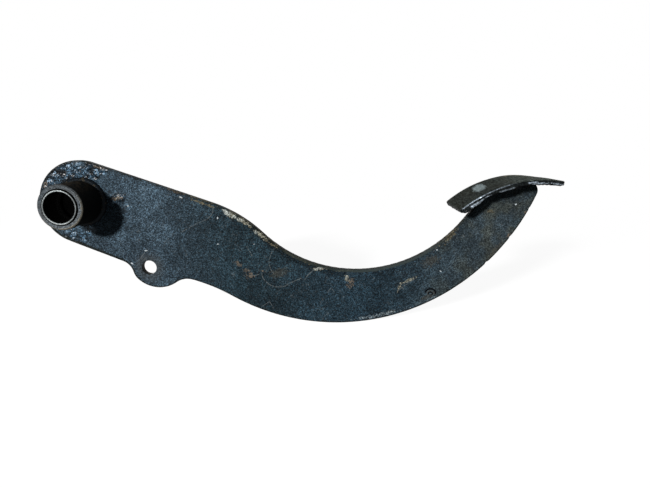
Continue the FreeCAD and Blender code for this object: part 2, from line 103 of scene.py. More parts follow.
# %% Define the node helper
class Graph:
    """Adds nodes to one tree. An input is fed with a value or with another node's output."""

    def __init__(self, tree):
        self.tree = tree

    def feed(self, socket, value):
        if isinstance(value, bpy.types.NodeSocket):
            self.tree.links.new(value, socket)
        else:
            socket.default_value = value

    def add(self, kind, inputs=None, **settings):
        node = self.tree.nodes.new(kind)
        for name, value in settings.items():
            setattr(node, name, value)
        for key, value in (inputs or {}).items():
            self.feed(node.inputs[key], value)
        return node

    def math(self, operation, *values):
        return self.add("ShaderNodeMath", dict(enumerate(values)), operation=operation).outputs[0]

    def fold(self, operation, values):
        """One number from several, taken two at a time."""
        return functools.reduce(lambda one, other: self.math(operation, one, other), values)

    def times(self, *values):
        """Product of the numbers."""
        return self.fold("MULTIPLY", values)

    def most(self, *values):
        """Largest of the numbers."""
        return self.fold("MAXIMUM", values)

    def vector(self, operation, *values):
        node = self.add("ShaderNodeVectorMath", dict(enumerate(values)), operation=operation)
        return node.outputs["Value" if operation == "LENGTH" else "Vector"]

    def scaled(self, vector, factor):
        node = self.add("ShaderNodeVectorMath", {0: vector, "Scale": factor}, operation="SCALE")
        return node.outputs["Vector"]

    def distance(self, place, centre):
        return self.vector("LENGTH", self.vector("SUBTRACT", place, centre))

    def split(self, vector):
        """The parts X, Y and Z of a vector."""
        return self.add("ShaderNodeSeparateXYZ", {0: vector}).outputs

    def attribute(self, name):
        """A number that the mesh keeps for each of its points."""
        return self.add("ShaderNodeAttribute", attribute_name=name).outputs["Fac"]

    def blend(self, share, first, second):
        """Colour between two colours."""
        node = self.add("ShaderNodeMix", {0: share, 6: first, 7: second}, data_type="RGBA")
        return node.outputs[2]

    def over(self, below, above, *masks):
        """Colour laid over another, as far as the product of the masks says."""
        return self.blend(self.times(*masks), below, above)

    def between(self, share, first, second):
        """Number between two numbers."""
        return self.add("ShaderNodeMix", {0: share, 2: first, 3: second}).outputs[0]

    def step(self, value, low, high):
        """Smooth step from 0 at low to 1 at high. Low may be above high."""
        inputs = {"Value": value, "From Min": low, "From Max": high}
        node = self.add("ShaderNodeMapRange", inputs, interpolation_type="SMOOTHSTEP")
        return node.outputs["Result"]

    def window(self, value, rise, fall):
        """1 between two soft borders, each given as where it is 0 and where it is 1."""
        return self.times(self.step(value, *rise), self.step(value, *fall))

    def noise(self, place, size, detail=2.0, rough=0.5, warp=0.0):
        """Soft noise from 0 to 1 whose lumps are about as wide as size."""
        linked = isinstance(size, bpy.types.NodeSocket)
        inputs = {
            "Vector": place, "Scale": self.math("DIVIDE", 1.0, size) if linked else 1 / size,
            "Detail": detail, "Roughness": rough, "Distortion": warp,
        }
        return self.add("ShaderNodeTexNoise", inputs).outputs[0]


def new_group(name, kind, inputs, outputs):
    """Empty node group with named sockets, its helper, its input values and its output node."""
    tree = bpy.data.node_groups.new(name, kind)
    for label, socket, value in inputs:
        made = tree.interface.new_socket(label, in_out="INPUT", socket_type="NodeSocket" + socket)
        if value is not None:
            made.default_value = value
    for label, socket in outputs:
        tree.interface.new_socket(label, in_out="OUTPUT", socket_type="NodeSocket" + socket)
    graph = Graph(tree)
    return graph, graph.add("NodeGroupInput").outputs, graph.add("NodeGroupOutput").inputs


print("node helper ready")

# %% [markdown]
# ## Finish effects that several materials share
# Old paint on steel shows the same few things everywhere: a soft cloudy tone, fine grit, flakes
# that have come off along edges, oval rubs and thin curved scratches. Each one is a group with
# named inputs, so that the arm, the tube and the pad can use it with their own values.
# Sand gives each tiny cell a tone of its own, which no soft noise does, and makes the paint gritty.
# All lengths in the groups are millimetres, which makes a value easy to compare with a ruler.

# %% Build the shared groups
SAND_SCALE = 1.95
# Moves one noise away from another that has the same size.
SHIFT = (31.0, 7.0, 13.0)
# A flake is where the noise is over a limit. Amount 1 takes the whole spread off that limit.
FLAKE_LIMIT = 0.78
FLAKE_SPREAD = 0.5
FLAKE_BORDER = 0.04


def mottle_group():
    """Cloudy tone, grit and fine specks of an old painted surface."""
    sockets = [
        ("Place", "Vector", None), ("Cloud size", "Float", 28.0), ("Grit size", "Float", 1.0),
    ]
    outputs = [(name, "Float") for name in ("Cloud", "Grit", "Sand", "Specks", "Hairs")]
    graph, given, result = new_group("Mottle", "ShaderNodeTree", sockets, outputs)
    cloud = graph.noise(given["Place"], given["Cloud size"], detail=4.0, rough=0.6)
    grit = graph.noise(given["Place"], given["Grit size"], detail=3.0, rough=0.7)
    shifted = graph.vector("ADD", given["Place"], SHIFT)
    fine = graph.noise(shifted, graph.times(given["Grit size"], 0.75), detail=1.0)
    graph.feed(result["Cloud"], graph.step(cloud, 0.3, 0.7))
    graph.feed(result["Grit"], graph.step(grit, 0.28, 0.72))
    graph.feed(result["Specks"], graph.step(fine, 0.64, 0.74))
    scale = graph.math("DIVIDE", SAND_SCALE, given["Grit size"])
    inputs = {"Vector": given["Place"], "Scale": scale}
    cells = graph.add("ShaderNodeTexVoronoi", inputs).outputs["Color"]
    graph.feed(result["Sand"], graph.split(cells)["X"])
    swirl = graph.math("SUBTRACT", graph.noise(shifted, 7.0, detail=2.0, warp=1.2), 0.5)
    hairs = graph.step(graph.math("ABSOLUTE", swirl), 0.011, 0.003)
    kept = graph.step(graph.noise(given["Place"], 5.0, detail=3.0), 0.5, 0.62)
    graph.feed(result["Hairs"], graph.times(hairs, kept))
    return graph.tree


def flake_group():
    """Crisp flakes where paint has come off. They spread as Amount goes from 0 to 1."""
    sockets = [("Place", "Vector", None), ("Amount", "Float", 0.5), ("Flake size", "Float", 2.5)]
    graph, given, result = new_group("Flakes", "ShaderNodeTree", sockets, [("Mask", "Float")])
    pattern = graph.noise(given["Place"], given["Flake size"], detail=5.0, rough=0.65)
    limit = graph.math("SUBTRACT", FLAKE_LIMIT, graph.times(given["Amount"], FLAKE_SPREAD))
    above = graph.math("SUBTRACT", pattern, limit)
    graph.feed(result["Mask"], graph.step(above, 0.0, FLAKE_BORDER))
    return graph.tree


def rub_group():
    """Oval patch with a ragged border, lying in the plane of X and Z."""
    sockets = [
        ("Place", "Vector", None), ("Centre", "Vector", None), ("Half length", "Float", 4.0),
        ("Half width", "Float", 1.0), ("Turn", "Float", 0.0), ("Ragged", "Float", 0.5),
        ("Border", "Float", 0.5),
    ]
    graph, given, result = new_group("Rub", "ShaderNodeTree", sockets, [("Mask", "Float")])
    offset = graph.vector("SUBTRACT", given["Place"], given["Centre"])
    inputs = {"Vector": offset, "Axis": (0, 1, 0), "Angle": given["Turn"]}
    turned = graph.add("ShaderNodeVectorRotate", inputs).outputs[0]
    parts = graph.split(turned)
    along = graph.math("DIVIDE", parts["X"], given["Half length"])
    across = graph.math("DIVIDE", parts["Z"], given["Half width"])
    flat = graph.add("ShaderNodeCombineXYZ", {0: along, 1: across}).outputs[0]
    reach = graph.vector("LENGTH", flat)
    border = graph.math("SUBTRACT", given["Border"], 0.5)
    ragged = graph.math("MULTIPLY_ADD", border, graph.times(given["Ragged"], 4.0), reach)
    graph.feed(result["Mask"], graph.step(ragged, 1.05, 0.75))
    return graph.tree


def scratch_group():
    """Thin curved scratch: part of a circle that lies in the plane of X and Z."""
    sockets = [
        ("Place", "Vector", None), ("Centre", "Vector", None), ("Radius", "Float", 20.0),
        ("Middle", "Vector", None), ("Half length", "Float", 8.0), ("Half width", "Float", 0.25),
        ("Wander", "Float", 0.5),
    ]
    graph, given, result = new_group("Scratch", "ShaderNodeTree", sockets, [("Mask", "Float")])
    flat = graph.vector("SUBTRACT", given["Place"], given["Centre"])
    flat = graph.vector("MULTIPLY", (1, 0, 1), flat)
    wander = graph.math("SUBTRACT", given["Wander"], 0.5)
    off = graph.math("SUBTRACT", graph.vector("LENGTH", flat), given["Radius"])
    off = graph.math("ABSOLUTE", graph.math("MULTIPLY_ADD", wander, 1.2, off))
    line = graph.step(graph.math("DIVIDE", off, given["Half width"]), 1.3, 0.5)
    away = graph.distance(given["Place"], given["Middle"])
    inside = graph.step(graph.math("DIVIDE", away, given["Half length"]), 1.0, 0.85)
    graph.feed(result["Mask"], graph.times(line, inside))
    return graph.tree


GROUPS = {tree.name: tree for tree in (mottle_group(), flake_group(), rub_group(), scratch_group())}
print("shared groups:", ", ".join(GROUPS))

# %% [markdown]
# A group does nothing until a material holds it and feeds it. Three more small functions start
# a material, place a group in it and end it. Each material reads Object coordinates, turned into
# mm: they stay with the piece when it moves and need no unwrapping.

# %% Place a shared group in a material
def use(graph, name, inputs):
    return graph.add("ShaderNodeGroup", inputs, node_tree=GROUPS[name]).outputs


def flakes(graph, place, amount, size):
    """Mask of flaked paint. Amount goes from 0 to 1, and size is in mm."""
    inputs = {"Place": place, "Amount": amount, "Flake size": size}
    return use(graph, "Flakes", inputs)["Mask"]


def new_material(name):
    """Empty material with its helper and the place of each point in mm."""
    material = bpy.data.materials.new(name)
    material.use_nodes = True
    material.node_tree.nodes.clear()
    graph = Graph(material.node_tree)
    place = graph.scaled(graph.add("ShaderNodeTexCoord").outputs["Object"], 1 / MM)
    return material, graph, place


def finish_material(graph, height, depth, **values):
    """Surface shader of a material. Height is a relief from 0 to 1, depth its size in mm."""
    inputs = {name.replace("_", " "): value for name, value in values.items()}
    bump = {"Height": height, "Distance": depth * MM, "Strength": 1.0}
    inputs["Normal"] = graph.add("ShaderNodeBump", bump).outputs[0]
    shader = graph.add("ShaderNodeBsdfPrincipled", inputs)
    graph.add("ShaderNodeOutputMaterial", {"Surface": shader.outputs[0]})


print("ready to start, fill and end a material")

# %% [markdown]
# ## The marks on the arm's paint
# A used part is known by its own marks. They were measured from the picture as places on the
# arm's front face, X along the arm and Z up, in mm from the pivot axis.
# A rub is an oval, and a scratch is an arc through three points, which is how a hand or a stone
# draws one. Keeping them in short lists by finish makes each easy to find and to move.

# %% List the marks
# Each rub: X, Z, half length, half width, turn in degrees (anticlockwise), raggedness.
BARE_RUBS = [
    (161.0, -46.6, 4.6, 1.2, 8, 1.0), (181.0, -53.6, 2.6, 1.3, -72, 1.3),
    (179.5, -47.9, 6.0, 0.5, 0, 1.2), (101.0, -8.6, 5.6, 2.0, -30, 0.9),
    (109.0, -12.9, 7.0, 1.6, -27, 1.1), (121.2, -22.6, 5.6, 1.4, -38, 1.2),
    (224.0, -54.8, 5.2, 0.9, 26, 1.5), (218.0, -59.0, 3.2, 0.8, 68, 1.5),
]
WHITE_RUBS = [
    (98.6, -7.4, 3.4, 1.6, -34, 1.1), (104.4, -10.6, 4.2, 1.0, -28, 1.5),
    (161.0, -46.4, 3.0, 0.9, 12, 1.3), (118.4, -21.0, 1.4, 0.8, -38, 1.5),
    (180.6, -52.8, 0.8, 0.9, 0, 1.2),
]
# The pale spots on the crust are painted glints where its lumps catch the light.
CRUST_GLINTS = [
    (-0.2, 25.4, 1.5, 0.9, 10, 1.3), (-6.6, 24.4, 1.9, 1.0, 25, 1.5),
    (-0.6, -26.6, 1.3, 0.7, -20, 1.2), (-7.9, -22.0, 2.0, 1.0, 20, 1.5),
    (-21.4, 14.6, 1.6, 1.0, 55, 1.5), (-17.0, 19.6, 1.2, 0.8, 40, 1.3),
    (4.3, 20.3, 0.9, 0.6, 0, 1.2), (11.9, 21.3, 1.2, 0.7, -30, 1.5),
    (16.4, 18.8, 1.0, 0.6, -40, 1.5), (-25.6, 5.0, 0.9, 1.6, 0, 1.3),
    (-13.0, -20.6, 1.1, 0.8, 0, 1.3),
]
BROWN_RUBS = [
    (239.1, -40.8, 6.5, 3.6, 25, 1.0), (237.6, -66.6, 5.5, 1.6, 28, 1.0),
    (250.5, -22.4, 7.0, 3.2, 46, 0.9), (134.0, -49.5, 7.0, 3.2, 20, 1.2),
    (283.0, -33.0, 7.0, 2.4, 52, 1.0), (212.5, -77.6, 3.2, 0.9, 12, 0.9),
]
PRIMER_RUBS = [
    (105.6, -43.4, 3.2, 1.3, -50, 1.2), (110.6, -47.6, 2.8, 1.4, -20, 1.2),
    (112.8, -51.6, 3.2, 2.0, 0, 1.2), (122.8, -48.3, 2.6, 0.8, 0, 1.0),
    (183.6, -57.0, 3.4, 2.6, 60, 1.2), (64.0, 7.0, 5.0, 0.9, -19, 1.0),
    (301.6, -7.0, 1.3, 1.1, 40, 0.6), (291.4, -22.3, 2.2, 0.9, 50, 0.8),
    (-24.0, 12.0, 2.4, 1.3, 60, 1.2), (13.0, 23.4, 3.4, 0.8, -17, 1.2),
    (24.0, 2.2, 4.0, 1.3, 15, 1.0),
]
YELLOW_RUBS = [
    (278.1, -5.8, 2.6, 1.3, 0, 1.3), (24.0, 2.4, 3.0, 1.0, 25, 1.0),
    (251.4, -21.2, 5.0, 2.2, 48, 1.2),
]
PALE_RUBS = [
    (31.1, -2.8, 0.55, 0.45, 0, 0.1), (294.5, -1.3, 0.75, 0.6, 0, 0.1),
    (68.0, 3.0, 1.2, 0.45, -20, 0.6), (92.1, -11.0, 0.4, 0.8, 0, 0.5),
    (116.6, -29.1, 0.4, 0.4, 0, 0.3), (91.6, -29.2, 0.7, 0.3, 0, 0.6),
    (30.7, -43.3, 0.9, 0.6, -40, 0.7), (245.8, -47.9, 0.9, 0.4, -40, 0.7),
    (242.9, -32.9, 0.6, 0.4, 0, 0.5), (41.2, -34.0, 1.4, 0.4, 0, 0.9),
    (67.2, 3.4, 0.7, 0.4, 0, 0.6),
]
# Each scratch: three points (X, Z) on it, and its half width.
SCRATCHES = [
    ((89.3, -3.4), (88.6, -7.6), (84.6, -12.0), 0.30),
    ((84.6, -12.0), (76.0, -15.8), (65.7, -21.5), 0.26),
    ((121.0, -49.5), (128.6, -59.0), (140.9, -57.2), 0.30),
    ((140.9, -57.2), (145.0, -55.2), (149.5, -53.0), 0.30),
    ((131.4, -32.0), (127.5, -38.0), (126.8, -43.5), 0.26),
    ((126.8, -43.5), (128.0, -47.5), (129.8, -50.4), 0.22),
    ((151.2, -54.6), (154.6, -50.4), (159.4, -46.6), 0.34),
    ((112.5, -51.6), (116.0, -51.6), (120.0, -50.6), 0.24),
    ((34.0, -43.0), (38.0, -38.2), (41.0, -34.2), 0.30),
    ((217.2, -62.0), (221.4, -58.4), (228.5, -53.8), 0.30),
    ((167.4, -64.0), (168.8, -61.8), (169.9, -60.3), 0.22),
    ((169.9, -60.3), (171.2, -61.8), (172.4, -63.8), 0.22),
    ((121.2, -74.0), (124.0, -72.2), (126.2, -70.8), 0.26),
    ((126.2, -70.8), (127.6, -72.6), (129.0, -75.4), 0.24),
    ((111.0, -30.8), (113.5, -34.5), (114.9, -37.8), 0.24),
    ((240.0, -35.0), (243.6, -29.6), (248.0, -25.4), 0.24),
]
# Stretches of worn edge: X from and to, upper (1) or lower (-1) edge, width, strength.
# Along the upper edge flakes have come off. Along the lower edge it is only finely speckled, and
# its pale blue specks are partly wear and partly painted glints where the arris catches the light.
EDGE_WEAR = [
    (58, 70, 1, 1.6, 0.35), (72, 92, 1, 2.6, 0.75), (98, 118, 1, 2.4, 0.7),
    (117, 136, 1, 2.0, 0.8), (134, 158, 1, 1.2, 0.75), (156, 172, 1, 1.8, 0.6),
    (233, 247, 1, 1.6, 0.6), (246, 257, 1, 3.0, 0.7), (172, 192, -1, 3.0, 0.45),
    (188, 217, -1, 3.4, 0.85), (215, 246, -1, 2.4, 0.6), (244, 280, -1, 2.2, 0.4),
    (-20, 60, -1, 1.2, 0.25), (150, 230, 1, 0.9, 0.45),
]
# Middle of the push rod hole.
ROD_HOLE = (42.7, -46.2)


def circle_through(first, second, third):
    """Centre and radius of the circle through three points (X, Z)."""
    a, b, c = (Vector(point) for point in (first, second, third))
    rows = Matrix(((b.x - a.x, b.y - a.y), (c.x - a.x, c.y - a.y)))
    sums = Vector([(point.length_squared - a.length_squared) / 2 for point in (b, c)])
    centre = rows.inverted() @ sums
    return centre, (centre - a).length


RUBS = (BARE_RUBS, WHITE_RUBS, CRUST_GLINTS, BROWN_RUBS, PRIMER_RUBS, YELLOW_RUBS, PALE_RUBS)
print(sum(map(len, RUBS)), "rubs and", len(SCRATCHES), "scratches")

# %% [markdown]
# ## Paint of the arm
# The paint is a thin blue-black coat, dusty and speckled with grit. It is lighter towards the
# tube, partly its own tone and partly painted light, and greyer towards the pad. Its edges are
# rubbed through to brown steel, with some painted shade on them, and round the tube it runs glossy
# over weld spatter. One picture laid over the arm would blur close up. The paint is therefore built
# in layers, each a colour and a mask, so that each can be changed by itself.

# %% Name the arm's colours and zones
# The first tone, near the tube, is lighter partly as painted light.
PAINT_BLUE_AND_LIGHT = (0.0370, 0.0590, 0.0790, 1)
PAINT_DARK = (0.0130, 0.0266, 0.0355, 1)
PAINT_BEND = (0.0148, 0.0300, 0.0425, 1)
PAINT_GREY = (0.0365, 0.0530, 0.0640, 1)
PAINT_OLIVE = (0.0400, 0.0480, 0.0455, 1)
DUST = (0.1000, 0.1080, 0.1080, 1)
GRIT_PALE = (0.1500, 0.1620, 0.1640, 1)
CRUST_BLUE = (0.0190, 0.0350, 0.0510, 1)
# Pale blue of the painted glints on the crust.
CRUST_GLINT_BLUE = (0.1900, 0.2800, 0.3700, 1)
BARE_TAN = (0.1900, 0.1700, 0.1150, 1)
BARE_STEEL = (0.4200, 0.4100, 0.3300, 1)
BARE_WHITE = (0.6200, 0.6800, 0.6500, 1)
BARE_BROWN = (0.0500, 0.0470, 0.0340, 1)
# Pale blue of the specks on the lower edge, partly painted glints.
SPECK_GLINT_BLUE = (0.4200, 0.5000, 0.5400, 1)
BROWN_HAZE = (0.0900, 0.0780, 0.0540, 1)
YELLOW_BROWN = (0.1300, 0.1060, 0.0600, 1)
PRIMER = (0.1750, 0.1380, 0.1020, 1)
SCRATCH_PALE = (0.2000, 0.2150, 0.2150, 1)
# Dark brown of the edges, partly painted shade on the rounded edge and walls.
EDGE_BROWN_AND_SHADE = (0.0100, 0.0105, 0.0070, 1)
EDGE_OLIVE = (0.0235, 0.0310, 0.0280, 1)
EDGE_GREY = (0.0400, 0.0510, 0.0490, 1)
LUG_RUB = (0.0600, 0.0600, 0.0560, 1)
# Near black of the struck mark's grooves: dirt and painted shade.
STRUCK_DIRT_AND_SHADE = (0.0015, 0.0020, 0.0025, 1)
PALE_CHIP = (0.5000, 0.5500, 0.5800, 1)
# Each zone is a soft border in mm, from where its mask is 0 to where it is 1.
# Along X, where one tone of the paint goes over into the next:
BLUE_TO_DARK = (42.0, 106.0)
DARK_TO_BEND = (120.0, 180.0)
BEND_TO_GREY = (200.0, 285.0)
SAND_CALMS = (215.0, 285.0)
EDGE_TO_GREY = (165.0, 205.0)
# The dark strip inside the upper edge: its ends along X, its lower limit, its depth from the edge.
STRIP_ENDS = ((110.0, 122.0), (188.0, 174.0))
STRIP_ABOVE = (-62.0, -58.0)
STRIP_DEPTH = (4.6, 2.8)
# The bend, whose upper edge is worn in a broader band, and the lower side of the round end, where
# the dark edge line is broader as painted shade.
BEND_ENDS = ((130.0, 142.0), (252.0, 238.0))
ROUND_END = (50.0, 5.0)
LOWER_SIDE = (-5.0, -22.0)
# Distance from the push rod hole over which its pin has rubbed the lug.
LUG_RUBBED = (13.0, 6.5)
print("the paint changes its tone from X", BLUE_TO_DARK[0], "to", BEND_TO_GREY[1], "mm")

# %% [markdown]
# Most layers need the same few things: where a point lies, whether it is on the front face or on
# the edge, and how close the outline is. They are worked out once and handed on together.
# Wear, crust, distance from the edge and the struck mark are numbers that the relief, further
# down, writes into the mesh point by point, so that colour and relief always agree.

# %% Gather what the layers share
def arm_surface(graph, place):
    """Places and masks that the layers of the arm's paint read."""
    parts = graph.split(place)
    in_plane = graph.vector("MULTIPLY", place, (1, 0, 1))
    border = graph.noise(in_plane, 1.6, detail=4.0, rough=0.7)
    front = graph.step(parts["Y"], -1.0, -1.6)
    normal = graph.add("ShaderNodeNewGeometry").outputs["Normal"]
    side = graph.step(graph.math("ABSOLUTE", graph.split(normal)["Y"]), 0.75, 0.35)
    wear, crust, from_edge = (graph.attribute(name) for name in ("wear", "crust", "from_edge"))
    return SimpleNamespace(
        graph=graph, place=place, x=parts["X"], z=parts["Z"], in_plane=in_plane, border=border,
        front=front, side=side, wear=wear, crust=crust, from_edge=from_edge,
        mottle=use(graph, "Mottle", {"Place": place}),
    )


def rubbed(arm, rubs):
    """Mask of a list of rubs, on the front face only."""
    masks = []
    for x, z, half_length, half_width, turn, ragged in rubs:
        masks.append(use(arm.graph, "Rub", {
            "Place": arm.in_plane, "Centre": (x, 0, z), "Half length": half_length,
            "Half width": half_width, "Turn": math.radians(turn), "Ragged": ragged,
            "Border": arm.border,
        })["Mask"])
    return arm.graph.times(arm.graph.most(*masks), arm.front)


def scratched(arm, scratches):
    """Mask of a list of scratches, on the front face only, broken up by noise."""
    graph = arm.graph
    wander = graph.noise(arm.in_plane, 4.0, detail=3.0)
    broken = graph.step(graph.noise(arm.in_plane, 1.1, detail=3.0), 0.38, 0.54)
    masks = []
    for first, second, third, half_width in scratches:
        centre, radius = circle_through(first, second, third)
        middle = (Vector(first) + Vector(third)) / 2
        masks.append(use(graph, "Scratch", {
            "Place": arm.in_plane, "Centre": (centre.x, 0, centre.y), "Radius": radius,
            "Middle": (middle.x, 0, middle.y), "Half width": half_width, "Wander": wander,
            "Half length": (Vector(first) - Vector(third)).length / 2 + half_width,
        })["Mask"])
    return graph.times(graph.most(*masks), broken, arm.front)


print("ready to lay the layers of the arm's paint")

# %% [markdown]
# The sound paint comes first. Its tone changes slowly along the arm, and its shade changes from
# place to place by powers of two, which is how the eye counts light. Dust, pale grit and fine
# hairs lie on it.

# %% Lay the sound paint
SHADE_SAND = 3.9
SHADE_GRIT = 0.7
SHADE_PATCHES = 0.6
SHADE_LEVEL = 3.5
STRIP_SHADE = 0.42


def sound_paint(arm):
    """Colour of the paint where it has held, and its shade from place to place."""
    graph, place, mottle = arm.graph, arm.place, arm.mottle
    colour = graph.blend(graph.step(arm.x, *BLUE_TO_DARK), PAINT_BLUE_AND_LIGHT, PAINT_DARK)
    colour = graph.blend(graph.step(arm.x, *DARK_TO_BEND), colour, PAINT_BEND)
    olive = graph.step(graph.noise(place, 14.0, detail=3.0, rough=0.6), 0.42, 0.62)
    grey = graph.blend(olive, PAINT_GREY, PAINT_OLIVE)
    colour = graph.blend(graph.step(arm.x, *BEND_TO_GREY), colour, grey)
    patches = graph.step(graph.noise(place, 5.0, detail=3.0, rough=0.6), 0.3, 0.7)
    shade = graph.math(
        "MULTIPLY_ADD", mottle["Grit"], SHADE_GRIT, graph.times(patches, SHADE_PATCHES))
    shade = graph.math("ADD", mottle["Cloud"], shade)
    sand = graph.between(graph.times(graph.step(arm.x, *SAND_CALMS), 0.3), mottle["Sand"], 0.5)
    shade = graph.math(
        "MULTIPLY_ADD", sand, SHADE_SAND, graph.math("SUBTRACT", shade, SHADE_LEVEL))
    shade = graph.math("POWER", 2.0, shade)
    strip = graph.times(
        graph.window(arm.x, *STRIP_ENDS), graph.step(arm.z, *STRIP_ABOVE),
        graph.step(arm.from_edge, *STRIP_DEPTH),
    )
    colour = graph.scaled(graph.scaled(colour, shade), graph.between(strip, 1.0, STRIP_SHADE))
    dust = graph.step(graph.noise(place, 0.8, detail=2.0, rough=0.8), 0.5, 0.8)
    colour = graph.over(colour, DUST, dust, 0.45)
    colour = graph.over(colour, GRIT_PALE, mottle["Specks"], 0.35)
    colour = graph.over(colour, SCRATCH_PALE, mottle["Hairs"], 0.3)
    return colour, shade

# %% [markdown]
# Round the tube the paint covers a crust of weld spatter. Its tone is painted dark in patches, as
# shade in its hollows, and pale blue spots on it are painted glints on its lumps. Further on, hands
# and boots have left a brown haze in a few places, and the pin of the push rod has rubbed the lug
# round its hole.

# %% Lay the crust and the stains
def crust_and_stains(arm, colour, shade):
    """Colour with the weld crust, its painted shade and glints, the haze and the rubbed lug laid
    over it.
    """
    graph, sand = arm.graph, arm.mottle["Sand"]
    # The crust's tone swings from painted shade in the hollows to painted light on the lumps.
    lumps = graph.step(graph.noise(arm.place, 3.6, detail=4.0, rough=0.7), 0.40, 0.66)
    clear_of_edge = graph.between(graph.step(arm.from_edge, 1.0, 3.6), 0.3, 1.0)
    lumps = graph.times(graph.between(lumps, 0.06, 2.6), clear_of_edge)
    crust_tone_and_shade = graph.scaled(CRUST_BLUE[:3], graph.times(shade, lumps))
    colour = graph.blend(arm.crust, colour, crust_tone_and_shade)
    colour = graph.over(
        colour, CRUST_GLINT_BLUE, rubbed(arm, CRUST_GLINTS), graph.between(sand, 0.3, 1.0))
    colour = graph.over(
        colour, BROWN_HAZE, rubbed(arm, BROWN_RUBS), graph.between(sand, 0.05, 0.55))
    from_hole = graph.distance(arm.in_plane, (ROD_HOLE[0], 0, ROD_HOLE[1]))
    lug = graph.step(from_hole, *LUG_RUBBED)
    return graph.over(colour, LUG_RUB, lug, graph.between(sand, 0.1, 0.7))

# %% [markdown]
# The arm's own marks come next, in the order in which they lie on each other: the brown edge,
# partly painted shade, rusty and primed spots, flakes along the edges, bare and white rubs, and
# scratches. Sand breaks each of them up, because paint wears off the high grains first.

# %% Lay the worn marks
def worn_marks(arm, colour):
    """Colour with the marks on it, the mask of all that is bare, and the mask of the flakes."""
    graph, place, sand = arm.graph, arm.place, arm.mottle["Sand"]
    chips = flakes(graph, place, graph.most(arm.wear, 0.0), 2.6)
    specks_and_glints = flakes(graph, place, graph.most(graph.times(arm.wear, -1.0), 0.0), 1.3)
    dotted = graph.step(graph.noise(arm.in_plane, 1.0, detail=2.0, rough=0.8), 0.44, 0.62)
    bare = rubbed(arm, BARE_RUBS)
    white = rubbed(arm, WHITE_RUBS)
    primer = graph.times(rubbed(arm, PRIMER_RUBS), flakes(graph, place, 0.7, 1.7))
    lines = scratched(arm, SCRATCHES)
    streaks = graph.step(graph.noise(place, 1.6, detail=4.0, rough=0.8), 0.34, 0.66)
    sandy = graph.between(sand, 0.35, 1.5)
    chip_tone = graph.scaled(graph.blend(streaks, BARE_BROWN, BARE_TAN), sandy)
    bare_tone = graph.scaled(graph.blend(streaks, BARE_BROWN, BARE_STEEL), sandy)
    # The side walls take the dark brown edge tone, partly painted shade.
    colour = graph.blend(arm.side, colour, EDGE_BROWN_AND_SHADE)
    yellow = graph.times(rubbed(arm, YELLOW_RUBS), graph.between(sand, 0.1, 1.0))
    colour = graph.over(colour, YELLOW_BROWN, yellow, 0.75)
    primer = graph.times(primer, graph.between(sand, 0.0, 1.15))
    colour = graph.over(colour, PRIMER, primer, 0.9)
    colour = graph.over(colour, chip_tone, chips, 0.9)
    gritty = graph.between(graph.step(sand, 0.2, 0.7), 0.25, 1.0)
    colour = graph.over(colour, bare_tone, bare, gritty)
    white = graph.times(white, graph.between(gritty, 0.35, 1.0))
    colour = graph.over(colour, BARE_WHITE, white, graph.between(streaks, 0.0, 0.9))
    colour = graph.over(colour, SCRATCH_PALE, lines, 0.5)
    # Pale blue specks along the lower edge: partly wear, partly painted glints on the arris.
    colour = graph.over(colour, SPECK_GLINT_BLUE, specks_and_glints, dotted, graph.between(sand, 0.2, 1.0))
    return colour, graph.most(bare, chips, primer, lines), chips

# %% [markdown]
# Last come the uneven dark line along the edges, the struck mark and the few pale chips. The
# line is partly worn edge and partly painted shade on the rounded edge. It is broader under the
# round end, as painted shade where the edge turns from the light, and on the bend it turns from
# brown to olive and grey.
# Specular level and coat roughness are the same everywhere, so they are set on the shader's own
# sockets, and only what changes over the surface is linked.

# %% Make the arm's paint
def edges_and_chips(arm, colour):
    """Colour with the line along the edges, partly painted shade, the struck mark and the pale
    chips laid over it.
    """
    graph = arm.graph
    # Under the round end the line is widened as painted shade.
    under = graph.times(graph.step(arm.x, *ROUND_END), graph.step(arm.z, *LOWER_SIDE))
    bend = graph.times(graph.window(arm.x, *BEND_ENDS), graph.step(arm.wear, 0.0, 0.08))
    wider = graph.most(under, graph.times(bend, 0.6))
    near_edge = graph.math("SUBTRACT", graph.math("SUBTRACT", arm.from_edge, 0.6), wider)
    uneven = graph.math(
        "MULTIPLY_ADD", graph.noise(arm.place, 1.6, detail=3.0), 1.2, near_edge)
    edge_tone = graph.blend(graph.step(arm.x, *EDGE_TO_GREY), EDGE_OLIVE, EDGE_GREY)
    edge_tone = graph.blend(bend, EDGE_BROWN_AND_SHADE, edge_tone)
    colour = graph.over(colour, edge_tone, graph.step(uneven, 0.55, 0.0), 0.85)
    struck = graph.attribute("struck")
    # The struck mark's grooves are painted dark, partly as dirt, partly as painted shade.
    colour = graph.over(colour, STRUCK_DIRT_AND_SHADE, graph.step(struck, 0.1, 0.9))
    colour = graph.over(colour, LUG_RUB, graph.step(struck, -0.1, -0.9), 0.8)
    return graph.over(colour, PALE_CHIP, rubbed(arm, PALE_RUBS))


